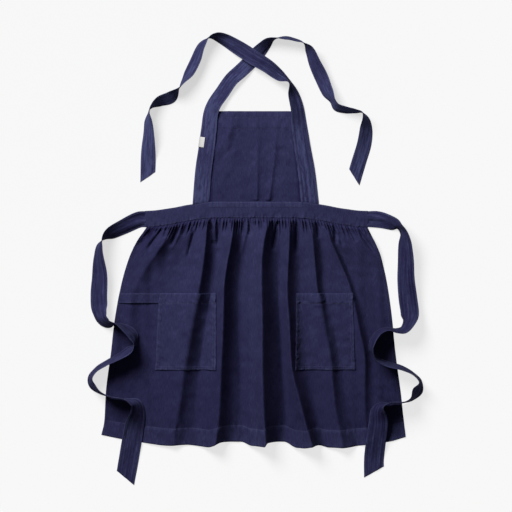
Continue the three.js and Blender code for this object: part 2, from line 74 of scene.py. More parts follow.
def in_frame(points):
    """Table points in millimetres as frame points in metres: scaled, then moved to the tables' origin."""
    return points * MM + TABLE_ORIGIN


print("The tables' origin lies at", np.round(TABLE_ORIGIN, 5))

# %% [markdown]
# ## Camera
# The apron is seen from straight above. A real camera would stand on a ladder; a long lens far off shows
# the same thing with hardly any leaning at the picture's edges.

# %% Camera straight above
# in metres: the width of floor in the picture, and the camera's height
FIELD, CAMERA_HEIGHT = 1.3312, 5.0
# in millimetres: the table point under the camera, and the camera's sensor
CAMERA_OVER, SENSOR = (1.3, 9.1, 0), 36.0

camera_data = bpy.data.cameras.new("camera")
camera_data.sensor_width = SENSOR
camera_data.lens = SENSOR * CAMERA_HEIGHT / FIELD
camera = bpy.data.objects.new("camera", camera_data)
camera.location = in_frame(np.array(CAMERA_OVER)) + (0, 0, CAMERA_HEIGHT)
bpy.context.scene.collection.objects.link(camera)
bpy.context.scene.camera = camera
print(f"Lens {camera_data.lens:.0f} mm")

# %% [markdown]
# ## Light
# One broad round lamp stands on the upper left, so the folds' right sides fall dark and everything that
# stands up throws a shadow to the lower right, dark at its foot and fading away from it. The lamp is
# near enough for the bib to catch more light than the hem. A dim even sky fills the shadows. The
# Standard view keeps the cloth's colours as they are.

# %% Lamp and sky
TO_LAMP = Vector((-0.45, 0.58, 0.68)).normalized()
# in metres and watts
LAMP_DISTANCE, LAMP_WIDE = 3.6, 1.8
LAMP_POWER = 170
SKY_STRENGTH = 0.095

lamp_data = bpy.data.lights.new("studio_lamp", "AREA")
lamp_data.shape = "DISK"
lamp_data.size = LAMP_WIDE
lamp_data.energy = LAMP_POWER
lamp = bpy.data.objects.new("studio_lamp", lamp_data)
lamp.location = TO_LAMP * LAMP_DISTANCE
lamp.rotation_euler = TO_LAMP.to_track_quat("Z", "Y").to_euler()
bpy.context.scene.collection.objects.link(lamp)

sky = bpy.data.worlds.new("studio_sky")
sky.use_nodes = True
sky.node_tree.nodes["Background"].inputs["Color"].default_value = (1, 1, 1, 1)
sky.node_tree.nodes["Background"].inputs["Strength"].default_value = SKY_STRENGTH
bpy.context.scene.world = sky
bpy.context.scene.view_settings.view_transform = "Standard"
print("Lamp and sky are set")

# %% [markdown]
# ## Finishes
# A material is a small network of nodes that ends in one Principled surface. It could be wired by hand in
# the Shader Editor. In a script a few short helpers put in a node, a sum or a colour ramp, so that each
# finish below reads like a recipe.

# %% Material helpers
def new_material(name):
    """A new principled material, as four helpers. add puts in a node: a setting is an input, named with _
    for a space, or else a property of the node. math puts in a math node and gives its result. ramp puts in
    a colour ramp of (position, colour) stops. finish sets the surface and gives the material. An output
    socket is joined to the input that it is given for, and a plain value is set on it."""
    material = bpy.data.materials.new(name)
    material.use_nodes = True
    tree = material.node_tree

    def feed(socket, value):
        if isinstance(value, bpy.types.NodeSocket):
            tree.links.new(value, socket)
        else:
            socket.default_value = value

    def settle(node, settings):
        for setting, value in settings.items():
            socket = node.inputs.get(setting.replace("_", " "))
            if socket is None:
                setattr(node, setting, value)
            else:
                feed(socket, value)
        return node

    def add(kind, **settings):
        return settle(tree.nodes.new("ShaderNode" + kind), settings)

    def math(operation, *values, kind="Math", result="Value"):
        node = add(kind, operation=operation)
        for socket, value in zip(node.inputs, values):
            feed(socket, value)
        return node.outputs[result]

    def ramp(factor, *stops):
        node = add("ValToRGB", Fac=factor)
        elements = node.color_ramp.elements
        for index, (position, colour) in enumerate(stops):
            stop = elements[index] if index < len(elements) else elements.new(position)
            stop.position = position
            stop.color = (*colour, 1)
        return node.outputs["Color"]

    def finish(**settings):
        settle(tree.nodes["Principled BSDF"], settings)
        return material

    return add, math, ramp, finish


# %% [markdown]
# Twill is woven in fine slanting ribs. Its navy dye is a little uneven. It rubs pale along hems and seams,
# in patches that run with the yarn. Painted shade darkens it deep in the gathers, in the skirt's upper left
# corner, on its left flank, towards the hem and beside the bib's bands. The weave follows the cloth through
# the piece's own UV map, measured in metres, and the rubbed places and the painted shade come from an
# attribute on the mesh. Both are cheaper than a picture and have no visible edge.

# %% Navy twill
NAVY_DEEP = (0.0130, 0.0115, 0.0430)
NAVY = (0.0252, 0.0250, 0.0735)
NAVY_RUBBED = (0.0510, 0.0560, 0.1340)
# how fine the ribs, the clouds in the dye and the yarn (across and along) are
RIB_SCALE, CLOUD_SCALE, YARN_SCALE = 560, 30, (420, 70, 1)
# what the clouds and the slubs of the yarn add to the shade
CLOUD_SHARE, SLUB_SHARE = 0.4, 0.7
# how coarse the rubbed patches are, the noise between bare and full, and how far they change the wear
PATCH_SCALE, PATCH_NOISE, PATCHINESS = 0.45, (0.32, 0.68), 1.3
TWILL_ROUGHNESS = (0.78, 0.97)


def make_twill():
    """Navy twill. Its tone is a sum: the clouds times their share, the slubs times theirs, and an attribute
    that holds wear and painted shade. Where the attribute pales the cloth, the patches add to it or take from
    it; where it darkens the cloth they leave it. A ramp turns the sum into a colour. The bump's height is the
    slanting ribs plus the slubs."""
    add, math, ramp, finish = new_material("navy_twill")
    where = add("UVMap", uv_map="weave").outputs["UV"]
    with_yarn = add("Mapping", Vector=where, Scale=YARN_SCALE).outputs["Vector"]
    clouds = add("TexNoise", Vector=where, Scale=CLOUD_SCALE, Detail=4, Roughness=0.6).outputs["Fac"]
    slubs = add("TexNoise", Vector=with_yarn, Scale=1, Detail=3, Roughness=0.65).outputs["Fac"]
    patchy = add("TexNoise", Vector=with_yarn, Scale=PATCH_SCALE, Detail=4, Roughness=0.7).outputs["Fac"]
    patches = add("MapRange", Value=patchy, From_Min=PATCH_NOISE[0], From_Max=PATCH_NOISE[1],
                  To_Min=-PATCHINESS, To_Max=PATCHINESS).outputs["Result"]
    # the attribute pales the cloth where it is rubbed, and darkens it with painted shade, darker tones and
    # seam lines
    wear_and_shade = add("Attribute", attribute_name="wear_and_shade").outputs["Fac"]
    rubbed_and_shaded = math("MULTIPLY_ADD", math("MAXIMUM", wear_and_shade, 0), patches, wear_and_shade)
    yarn = math("MULTIPLY_ADD", slubs, SLUB_SHARE, rubbed_and_shaded)
    shade = math("MULTIPLY_ADD", clouds, CLOUD_SHARE, yarn)
    ribs = add("TexWave", Vector=where, bands_direction="DIAGONAL", Scale=RIB_SCALE, Distortion=0.6,
               Detail=1).outputs["Fac"]
    bump = add("Bump", Height=math("ADD", ribs, slubs), Strength=0.35, Distance=0.0003)
    rough = add("MapRange", Value=clouds, To_Min=TWILL_ROUGHNESS[0], To_Max=TWILL_ROUGHNESS[1])
    return finish(
        Base_Color=ramp(shade, (0.22, NAVY_DEEP), (0.55, NAVY), (1.0, NAVY_RUBBED)),
        Normal=bump.outputs["Normal"],
        Roughness=rough.outputs["Result"],
        Specular_IOR_Level=0.04,
        Sheen_Weight=0.015,
        Sheen_Roughness=0.5,
        Sheen_Tint=(0.55, 0.6, 0.85, 1),
    )


TWILL = make_twill()
print("Made", TWILL.name)

# %% [markdown]
# The sewing thread is a shade paler and smoother than the cloth, with a twist along it. The label is a
# bare white woven tape: its cross weave is two sets of fine bands.

# %% Thread and label tape
THREAD_NAVY = ((0.033, 0.035, 0.080), (0.052, 0.055, 0.118))
TAPE_WHITE = ((0.60, 0.60, 0.59), (0.70, 0.70, 0.69))
TWIST_SCALE, TAPE_SCALE = 700, 420


def make_thread():
    """Sewing thread: a fine noise over the piece picks a shade between two navies, as the twist does."""
    add, _, ramp, finish = new_material("navy_thread")
    where = add("TexCoord").outputs["Object"]
    twist = add("TexNoise", Vector=where, Scale=TWIST_SCALE, Detail=1).outputs["Fac"]
    return finish(Base_Color=ramp(twist, (0.35, THREAD_NAVY[0]), (0.65, THREAD_NAVY[1])), Roughness=0.6)


def make_tape():
    """Woven tape: bands across times bands along make the cross weave, in its shade and in its height."""
    add, math, ramp, finish = new_material("label_tape")
    where = add("UVMap", uv_map="weave").outputs["UV"]
    warp, weft = (
        add("TexWave", Vector=where, bands_direction=way, Scale=TAPE_SCALE).outputs["Fac"] for way in "XY"
    )
    weave = math("MULTIPLY", warp, weft)
    bump = add("Bump", Height=weave, Strength=0.3, Distance=0.0002)
    return finish(
        Base_Color=ramp(weave, (0.0, TAPE_WHITE[0]), (1.0, TAPE_WHITE[1])),
        Normal=bump.outputs["Normal"],
        Roughness=0.8,
    )


THREAD = make_thread()
TAPE = make_tape()
print("Made", THREAD.name, TAPE.name)

# %% [markdown]
# ## Floor
# The apron lies on a plain pale surface, far larger than itself, so no edge of it shows from any side. A
# photographer would light such a ground evenly with more lamps. Here the floor gives off a soft glow of its
# own, which makes up for the lamp's fall-off, so it looks the same everywhere and only the shadows show.
# The glow is kept out of the light that bounces from the floor to the cloth.

# %% Floor
FLOOR_GREY, FLOOR_TONE = 0.27, 0.935
FLOOR_HALF = 20.0
PAPER_SCALE = 300


def make_floor():
    """A matt floor of one tone. It glows by its tone less what it sends back of the sky and of the lamp. For
    the lamp that is grey * power * cosine at the lamp * cosine at the floor / (pi * distance)², where half
    the square of the disk's radius is added to the square of the distance."""
    add, math, _, finish = new_material("pale_floor")
    where = add("TexCoord").outputs["Object"]
    paper = add("TexNoise", Vector=where, Scale=PAPER_SCALE, Detail=2).outputs["Fac"]
    bump = add("Bump", Height=paper, Strength=0.05, Distance=0.0005)
    reach = math("SUBTRACT", TO_LAMP * LAMP_DISTANCE, where, kind="VectorMath", result="Vector")
    square = math("ADD", math("DOT_PRODUCT", reach, reach, kind="VectorMath"), LAMP_WIDE**2 / 8)
    facing = math("DOT_PRODUCT", reach, TO_LAMP, kind="VectorMath")
    lamplight = math("MULTIPLY", facing, math("POWER", square, -2))
    sent_back = FLOOR_GREY * LAMP_POWER * TO_LAMP.z * LAMP_DISTANCE / np.pi**2
    glow = math("MULTIPLY_ADD", lamplight, -sent_back, FLOOR_TONE - FLOOR_GREY * SKY_STRENGTH)
    bounced = add("LightPath").outputs["Is Diffuse Ray"]
    return finish(
        Base_Color=(FLOOR_GREY, FLOOR_GREY, FLOOR_GREY, 1),
        Normal=bump.outputs["Normal"],
        Roughness=1.0,
        Specular_IOR_Level=0.0,
        Emission_Color=(1, 1, 1, 1),
        Emission_Strength=math("MULTIPLY", glow, math("SUBTRACT", 1, bounced)),
    )


floor_mesh = bpy.data.meshes.new("floor")
floor_corners = np.array([[-1, -1, 0], [1, -1, 0], [1, 1, 0], [-1, 1, 0]]) * FLOOR_HALF
floor_mesh.from_pydata(floor_corners, [], [(0, 1, 2, 3)])
floor_mesh.materials.append(make_floor())
floor = bpy.data.objects.new("floor", floor_mesh)
bpy.context.scene.collection.objects.link(floor)
print("Floor", 2 * FLOOR_HALF, "m wide")

# %% [markdown]
# ## Tools for soft shapes
# Cloth has no straight lines, so each measure runs through its table as a smooth curve. Unevenness is a
# sum of waves in many directions: it repeats the same at each run, because the draw is seeded.

# %% Curves, steps and unevenness
def lerp(start, end, share):
    """The value a share of the way from start to end."""
    return start + (end - start) * share


def smooth_step(value, low, high):
    """0 up to low, 1 from high on, and 3t² - 2t³ between them."""
    t = np.clip((value - low) / (high - low), 0, 1)
    return t * t * (3 - 2 * t)


def ease_off(value, low, high):
    """1 up to low, 0 from high on: 1 less the smooth step."""
    return 1 - smooth_step(value, low, high)


def bell(distance, breadth):
    """1 on a line, falling off to both sides of it as exp(-(distance / breadth)²)."""
    return np.exp(-((distance / breadth) ** 2))


def fade(distance, reach):
    """1 at an edge, falling off from it as exp(-distance / reach)."""
    return np.exp(-distance / reach)


def to_edge(share):
    """How far a share of the way is from the nearer end, 0 or 1."""
    return np.minimum(share, 1 - share)


def paired(u, v):
    """Two parameters as arrays of one shape."""
    return np.broadcast_arrays(np.asarray(u, float), np.asarray(v, float))


def between(stops, place):
    """The value at a place that counts the stops of the last axis from 0, straight between them."""
    span = np.clip(np.floor(place).astype(int), 0, stops.shape[-1] - 2)
    near, far = (np.take_along_axis(stops, (span + k)[..., None], -1)[..., 0] for k in (0, 1))
    return lerp(near, far, place - span)


def table_curve(places, values):
    """A curve through a table that never swings past its values: a cubic between neighbours, whose slope
    at each row is the harmonic mean of the slopes to either side, or level at a turn."""
    places, values = np.asarray(places, float), np.asarray(values, float)
    chord = np.diff(values) / np.diff(places)
    before, after = np.append(chord[:1], chord), np.append(chord, chord[-1:])
    same_way = before * after > 0
    slopes = np.where(same_way, 2 * before * after / np.where(same_way, before + after, 1), 0)

    def curve(place):
        place = np.clip(place, places[0], places[-1])
        low = np.clip(np.searchsorted(places, place, side="right") - 1, 0, len(places) - 2)
        step = places[low + 1] - places[low]
        t = (place - places[low]) / step
        leave = t * (1 - t) ** 2 * step * slopes[low]
        arrive = t * t * (1 - t) * step * slopes[low + 1]
        return lerp(values[low], values[low + 1], t * t * (3 - 2 * t)) + leave - arrive

    return curve


def level_curve(values):
    """A curve through values given at the levels 0, 1, 2 and so on."""
    return table_curve(range(len(values)), values)


def soft_noise(x, y, size, seed, waves=14):
    """Unevenness about 0: the sum of plane waves in seeded directions, each about size long."""
    draw = np.random.default_rng(seed)
    heading, phase = draw.uniform(0, 2 * np.pi, (2, waves))
    length = size * draw.uniform(0.7, 1.6, waves)
    total = sum(
        np.sin(2 * np.pi * (x * np.cos(h) + y * np.sin(h)) / s + p)
        for h, s, p in zip(heading, length, phase)
    )
    return total * np.sqrt(2 / waves)


def spread(stops, counts):
    """Evenly spread places: counts[i] steps from stops[i] to stops[i + 1]."""
    parts = [np.linspace(a, b, n, endpoint=False) for a, b, n in zip(stops, stops[1:], counts)]
    return np.concatenate([*parts, stops[-1:]])


# %% [markdown]
# Laid cloth rises in two ways: in broad folds, which lean and change their breadth as they run, and in
# narrow creases. Sculpting could do both, but a table of a few rows can be read and corrected.

# %% Folds and creases
FLANK_POWER, LEAST_FLANK = 8, 1e-3


def fold_height(folds, rows, x, y):
    """The height that a table of folds lifts the cloth to. A fold climbs from its left foot to its crest as
    the square of the distance and falls to its right foot the same way. Near the crest the lower of the two
    flanks wins softly, as a sum of inverse eighth powers. Folds that meet join as the cube root of the sum
    of their cubes. Each fold gives its measures at the rows."""
    cubes = 0
    for fold in folds:
        left_foot, crest, right_foot, rise = (table_curve(rows, values)(y) for values in fold)
        left = np.maximum((x - left_foot) / (crest - left_foot), LEAST_FLANK) ** 2
        right = np.maximum((right_foot - x) / (right_foot - crest), LEAST_FLANK) ** 2
        flank = (left**-FLANK_POWER + right**-FLANK_POWER) ** (-1 / FLANK_POWER)
        cubes = cubes + (rise * flank) ** 3
    return np.cbrt(cubes)


def crease_height(creases, x, y):
    """Ridges and dents along straight lines. Across its line a crease falls off as exp(-(d / breadth)²),
    along it it swells and fades as the root of a half sine. A dent's rise is negative."""
    total = np.zeros(np.broadcast(x, y).shape)
    for x0, y0, x1, y1, breadth, rise in creases:
        run_x, run_y = x1 - x0, y1 - y0
        length = np.hypot(run_x, run_y)
        along = np.clip(((x - x0) * run_x + (y - y0) * run_y) / length**2, 0, 1)
        aside = ((y - y0) * run_x - (x - x0) * run_y) / length
        total += rise * np.sqrt(np.sin(np.pi * along)) * bell(aside, breadth)
    return total


# %% [markdown]
# ## From a grid of points to a sheet of cloth
# A sheet has two faces and a rounded edge. Blender's Solidify would do it too, but with the two grids at
# hand the wall is closed here directly: upper face, lower face, and a rim halfway between them that
# stands out a little.

# %% Cloth walls
# how far a rim stands out, in thicknesses, and how far cloth stays above the floor
RIM_OUT, FLOOR_CLEAR = 0.45, 0.05


def unit(vectors):
    """Vectors of length 1."""
    return vectors / np.maximum(np.linalg.norm(vectors, axis=-1, keepdims=True), 1e-12)


def grid_normals(grid):
    """Directions out of the face: the way down the rows crossed with the way along the columns."""
    return unit(np.cross(np.gradient(grid, axis=0), np.gradient(grid, axis=1)))


def run_length(points):
    """The distance from the first point of a line to each of its points."""
    return np.append(0, np.cumsum(np.linalg.norm(np.diff(points, axis=0), axis=1)))


def rim_of(rows, columns):
    """Grid places round the edge, clockwise seen from above: along the first row, down the last column,
    back along the last row and up the first column."""
    r, c = np.arange(rows - 1), np.arange(columns - 1)
    row = np.concatenate([0 * c, r, 0 * c + rows - 1, r[::-1] + 1])
    column = np.concatenate([c, 0 * r + columns - 1, c[::-1] + 1, 0 * r])
    return row, column


def cloth_wall(name, over, under, wear_and_shade, material):
    """A closed wall between two grids of points, as an object. The rim lies halfway between the faces,
    pushed out along the way from the next grid point by a share of the thickness."""
    rows, columns = over.shape[:2]
    row, column = rim_of(rows, columns)
    inner = over[np.clip(row, 1, rows - 2), np.clip(column, 1, columns - 2)]
    top, foot = over[row, column], under[row, column]
    thick = np.linalg.norm(top - foot, axis=1, keepdims=True)
    rim = (top + foot) / 2 + unit(top - inner) * thick * RIM_OUT
    place = np.arange(rows * columns).reshape(rows, columns)
    face = np.stack([place[:-1, :-1], place[1:, :-1], place[1:, 1:], place[:-1, 1:]], -1).reshape(-1, 4)
    upper, lower = place[row, column], place[row, column] + rows * columns
    edge = np.arange(len(row)) + 2 * rows * columns
    after = np.roll(np.arange(len(row)), -1)
    quads = np.concatenate([
        face,
        face[:, ::-1] + rows * columns,
        np.stack([upper, upper[after], edge[after], edge], -1),
        np.stack([edge, edge[after], lower[after], lower], -1),
    ])
    points = np.concatenate([over.reshape(-1, 3), under.reshape(-1, 3), rim])
    across, down = run_length(over[rows // 2]), run_length(over[:, columns // 2])
    weave = np.stack(np.meshgrid(across, down), -1) * MM
    weave = np.concatenate([weave.reshape(-1, 2), weave.reshape(-1, 2), weave[row, column]])
    rubbed_and_shaded = np.broadcast_to(wear_and_shade, (rows, columns))
    rubbed_and_shaded = np.concatenate([rubbed_and_shaded.ravel(), rubbed_and_shaded.ravel(), rubbed_and_shaded[row, column]])
    return put_mesh(name, points, quads, material, weave, rubbed_and_shaded)


def put_mesh(name, points, quads, material, weave=None, rubbed_and_shaded=None):
    """A smooth mesh object from table points, with its weave map and its attribute of rubbed places and
    painted shade.
    """
    mesh = bpy.data.meshes.new(name)
    mesh.from_pydata(in_frame(points), [], quads)
    mesh.shade_smooth()
    mesh.materials.append(material)
    if weave is not None:
        layer = mesh.uv_layers.new(name="weave")
        layer.data.foreach_set("uv", weave[quads.ravel()].ravel().astype(np.float32))
    if rubbed_and_shaded is not None:
        wear_and_shade = mesh.attributes.new("wear_and_shade", "FLOAT", "POINT")
        wear_and_shade.data.foreach_set("value", rubbed_and_shaded.astype(np.float32))
    piece = bpy.data.objects.new(name, mesh)
    bpy.context.scene.collection.objects.link(piece)
    print(f"{name}: {len(quads)} faces")
    return piece


def laid_cloth(name, over, wear_and_shade, material=TWILL, thickness=CLOTH):
    """A sheet whose upper face is a grid of points: its lower face lies a thickness inside it, and no
    point of it is under the floor."""
    under = over - thickness * grid_normals(over)
    under[..., 2] = np.maximum(under[..., 2], FLOOR_CLEAR)
    return cloth_wall(name, over, under, wear_and_shade, material)


# %% [markdown]
# ## Stitches
# Each stitch is a small bean of thread that dives into the cloth at both ends. A seam is a path over a
# cloth surface; the stitches are set along it at an even pitch, all worked out in one array, and joined
# into one piece for each piece of cloth. A texture of dashes would look flat in a slanting light.

# %% Stitches along a path
# millimetres; then the bean's rings: their places along it, their rise and their girth
PITCH, STITCH_LENGTH, THREAD_RADIUS = 3.3, 2.5, 0.36
BEAN_ALONG = np.array([-0.5, -0.3, 0.0, 0.3, 0.5])
BEAN_RISE = np.array([-0.7, 0.45, 0.8, 0.45, -0.7])
BEAN_GIRTH = np.array([0.45, 0.9, 1.0, 0.9, 0.45])
BEAN_SIDES = 4
SEAM_SAMPLES = 240


def surface_normals(surface, u, v, step=0.004):
    """Directions out of a surface, from the differences between near points of it."""
    across = surface(u + step, v) - surface(u - step, v)
    down = surface(u, v + step) - surface(u, v - step)
    return unit(np.cross(down, across))


def seam(surface, corners, turn=1):
    """Stitches along straight lines between (u, v) corners on a surface, as points (stitch, ring, side, xyz)
    of small beans. turn is -1 on a face that looks the other way."""
    corners = np.array(corners, float)
    samples = np.linspace(0, len(corners) - 1, SEAM_SAMPLES * (len(corners) - 1))
    u, v = (np.interp(samples, np.arange(len(corners)), corners[:, k]) for k in (0, 1))
    length = run_length(surface(u, v))
    middle = np.arange(PITCH / 2, length[-1], PITCH)

    def at(distance):
        return np.interp(distance, length, u), np.interp(distance, length, v)

    along = unit(surface(*at(middle + 1)) - surface(*at(middle - 1)))[:, None, None]
    out = turn * surface_normals(surface, *at(middle))[:, None, None]
    aside = np.cross(along, out)
    centre = surface(*at(middle))[:, None, None]
    angle = np.arange(BEAN_SIDES) * 2 * np.pi / BEAN_SIDES
    girth = (BEAN_GIRTH * THREAD_RADIUS)[None, :, None, None]
    ring = girth * (np.cos(angle)[:, None] * aside + np.sin(angle)[:, None] * out)
    run = (BEAN_ALONG * STITCH_LENGTH)[None, :, None, None] * along
    rise = (BEAN_RISE * THREAD_RADIUS)[None, :, None, None] * out
    return centre + run + rise + ring


def stitch_piece(name, seams):
    """One mesh of all the beans of some seams: walls between neighbouring rings, and a cap at both ends."""
    beans = np.concatenate(seams)
    rings, sides = len(BEAN_ALONG), BEAN_SIDES
    place = np.arange(rings * sides).reshape(rings, sides)
    beside = np.roll(place, -1, axis=1)
    walls = np.stack([place[:-1], beside[:-1], beside[1:], place[1:]], -1).reshape(-1, 4)
    faces = np.concatenate([walls, place[:1, ::-1], place[-1:]])
    first = np.arange(len(beans)) * rings * sides
    quads = (faces[None] + first[:, None, None]).reshape(-1, 4)
    return put_mesh(name, beans.reshape(-1, 3), quads, THREAD)


# %% [markdown]
# ## Putting a piece in place
# Every cloth piece stands for one CAD node, whose part it hides, and rides on the only body. Its stitches go
# with it.

# %% Put cloth and stitches in place
def declare(piece, node, stitches=None):
    """Puts a cloth piece and its stitches on the body and in the place of a CAD node, whose part is hidden."""
    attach(piece, "root")
    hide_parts(node)
    if stitches:
        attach(stitches, "root")


# %% [markdown]
# ## Skirt
# The skirt is one wide cloth gathered into the waistband. It falls into seven long folds, which grow
# towards the hem, with small gathers between them at the waist. Simulated cloth would put the folds
# anywhere; a table puts each where it lies, and the grid's columns fan out with the warp threads.

# %% Where the skirt lies on the floor
POCKET_MOUTH, POCKET_FOOT = -88, -286
# levels down the skirt, and the number of its right edge among the warp lines
WAIST, MOUTH, FOOT, HEM = 0, 1, 2, 3
RIGHT_EDGE = 6

# y, left edge, right edge
SKIRT_SIDES = np.array([
    (-462, -402, 390), (-420, -392, 385), (-345, -388, 377), (-240, -375, 363), (-150, -364, 354),
    (-60, -347, 341), (8, -326, 325), (50, -305, 307), (84, -282, 291),
])
# x at the waist, the pocket mouths, the pocket feet and the hem
WARP_LINES = [
    (-190, -249, -260, -285),
    (-80, -101, -101, -112),
    (5, 10, 12, 14),
    (92, 105, 102, 112),
    (190, 251, 259, 285),
]
# x, y
HEM_LINE = np.array([
    (-402, -455), (-365, -463), (-287, -476), (-225, -483), (-178, -481), (-126, -486), (-84, -473),
    (-38, -473), (-9, -483), (22, -483), (33, -473), (74, -473), (108, -488), (121, -488), (162, -481),
    (191, -488), (225, -488), (272, -483), (347, -473), (390, -461),
])
# y of the rows that the folds are given at, from the hem to the waist
FOLD_ROWS = (-485, -378, -266, -170, -74, -6, 51, 105)
# left foot, crest, right foot, rise, each at these rows
SKIRT_FOLDS = [
    ((-440, -430, -420, -420, -400, -350, -296, -254), (-371, -361, -345, -332, -312, -272, -232, -205),
     (-330, -315, -285, -268, -250, -230, -206, -192), (0, 0, 2, 6, 10, 13, 14, 13)),
    ((-300, -300, -300, -282, -252, -208, -172, -152), (-214, -196, -181, -165, -145, -134, -128, -125),
     (-162, -148, -132, -119, -113, -106, -108, -112), (12, 24, 30, 33, 33, 32, 28, 20)),
    ((-160, -166, -156, -140, -118, -107, -98, -96), (-104, -93, -88, -84, -82, -73, -62, -56),
     (-60, -33, -33, -39, -38, -33, -35, -42), (42, 48, 53, 54, 51, 44, 35, 23)),
    ((-38, -46, -50, -54, -54, -46, -40, -30), (28, 20, 17, 17, 15, 16, 23, 37),
     (64, 93, 87, 76, 68, 59, 53, 50), (58, 64, 66, 64, 55, 48, 38, 24)),
    ((72, 64, 58, 56, 53, 54, 58, 58), (148, 117, 92, 87, 81, 84, 87, 88),
     (179, 159, 135, 125, 120, 116, 109, 102), (56, 50, 42, 38, 35, 32, 28, 20)),
    ((176, 152, 145, 130, 108, 110, 112, 110), (224, 206, 195, 177, 160, 153, 148, 143),
     (280, 244, 228, 206, 182, 176, 168, 155), (26, 22, 20, 18, 21, 22, 21, 15)),
    ((242, 228, 210, 190, 180, 174, 164, 157), (292, 284, 284, 267, 246, 219, 194, 177),
     (318, 307, 305, 288, 263, 235, 209, 190), (3, 11, 18, 20, 18, 17, 15, 11)),
]

left_edge = table_curve(SKIRT_SIDES[:, 0], SKIRT_SIDES[:, 1])
right_edge = table_curve(SKIRT_SIDES[:, 0], SKIRT_SIDES[:, 2])
hem_line = table_curve(HEM_LINE[:, 0], HEM_LINE[:, 1])


def waist_middle(x):
    """The waistband's middle line: level in the middle, drooping to both ends as a smooth step."""
    return WAIST_MIDDLE - WAIST_DROOP * smooth_step(np.abs(x), WAIST_LEVEL_TO, WAIST_DROOP_AT)


def skirt_across(column, level, y):
    """x at a column: columns count the side edges and warp lines from 0 to 6, straight between them."""
    lines = [left_edge(y), *(level_curve(line)(level) for line in WARP_LINES), right_edge(y)]
    return between(np.stack(np.broadcast_arrays(*lines, column)[:-1], -1), column)


def skirt_plan(column, level):
    """x and y at a column and a level: straight down from the waist through the levels of the pockets to
    the hem line."""
    column, level = paired(column, level)
    waist_x = skirt_across(column, WAIST + 0 * level, SKIRT_SIDES[-1, 0] + 0 * level)
    hem_x = skirt_across(column, HEM + 0 * level, SKIRT_SIDES[0, 0] + 0 * level)
    waist_y = waist_middle(waist_x) - WAIST_HEIGHT / 2
    stops = np.stack(np.broadcast_arrays(waist_y, POCKET_MOUTH, POCKET_FOOT, hem_line(hem_x)), -1)
    y = between(stops, level)
    return skirt_across(column, level, y), y


print("The hem runs from", skirt_plan(0, HEM), "to", skirt_plan(RIGHT_EDGE, HEM))

# %% [markdown]
# The gathers puff the cloth up under the waistband. The deep clefts that part them, and a few ridges, are
# laid one by one where they are seen, as creases. Between them run little tucks with round backs, too many
# to place by hand, so they are drawn once from a seed.

# %% Gathers, creases and hems of the skirt
PUFF, GATHERS = 13, 76
# how far a little cleft strays from its even place, how deep it is and how far down it reaches
STRAY, CLEFT_DEPTHS, CLEFT_REACHES = 0.024, (5.0, 13.0), (0.08, 0.30)
gather_draw = np.random.default_rng(7)
gather_places = np.linspace(0.02, 5.98, GATHERS) + gather_draw.uniform(-STRAY, STRAY, GATHERS)
gather_depth = gather_draw.uniform(*CLEFT_DEPTHS, GATHERS)
gather_reach = gather_draw.uniform(*CLEFT_REACHES, GATHERS)
gather_count = table_curve(gather_places, np.arange(GATHERS))

# x0, y0, x1, y1, breadth, rise
SKIRT_CREASES = [
    (246, -25, 303, -40, 9, 1.8),
    (248, -42, 300, -58, 7, -1.2),
    (311, -322, 356, -330, 6, 2.2),
    (311, -350, 356, -357, 6, 2.0),
    (-357, -150, -300, -180, 8, 2.0),
    (-352, -318, -290, -350, 9, 2.0),
    (-109, -285, -137, -482, 7, 3.2),
    (-14, -100, -16, -470, 5, 2.4),
    (-312, 30, -256, 86, 9, -12.0),
    (-298, 50, -266, 82, 6, -9.0),
    (-280, 26, -238, 84, 5.5, -11.0),
    (-226, 100, -236, 58, 4.5, -11.0),
    (-184, 94, -222, 22, 5, 4.0),
    (-196, 100, -218, 36, 4.5, -10.0),
    (-176, 110, -190, 62, 4.5, -11.0),
    (-160, 125, -166, 70, 4.5, -9.0),
    (-146, 120, -177, 4, 5, -9.0),
    (-112, 125, -114, 74, 4.5, -12.0),
    (-97, 135, -97, 34, 5, -15.0),
    (-116, 46, -98, 40, 4, -8.0),
    (-30, 135, -30, 66, 4.5, -11.0),
    (-18, 100, -38, 12, 5, 5.0),
    (-14, 140, -15, 62, 4.5, -13.0),
    (12, 135, 13, 70, 4.5, -10.0),
    (58, 100, 45, 26, 5, -14.0),
    (111, 140, 106, 16, 5.5, -17.0),
    (161, 130, 164, 56, 5, -11.0),
    (204, 120, 208, 42, 5, -13.0),
    (216, 70, 226, 34, 5, -6.0),
    (240, 90, 262, 46, 5.5, -10.0),
    (254, 92, 310, 18, 5, -9.0),
]
# from the pockets' feet to the hem's edge, and the hem's depth; from a side to its warp line, and its hem
HEM_SPAN, HEM_DEPTH = 190, 42
SIDE_SPAN, SIDE_HEM = 120, 10


def gather_clefts(column, level):
    """How deep a place is in a little cleft, 0 to 1: the square of a raised cosine of the gather count,
    fading over each cleft's own length."""
    count = gather_count(column)
    reach = level_curve(gather_reach)(count)
    return (0.5 + 0.5 * np.cos(2 * np.pi * count)) ** 2 * ease_off(level, 0.3 * reach, reach)


def gather_height(column, level):
    """The puff below the waistband, less the little clefts, each of its own depth."""
    puff = PUFF * ease_off(level, 0.15, 0.75)
    return puff - level_curve(gather_depth)(gather_count(column)) * gather_clefts(column, level)


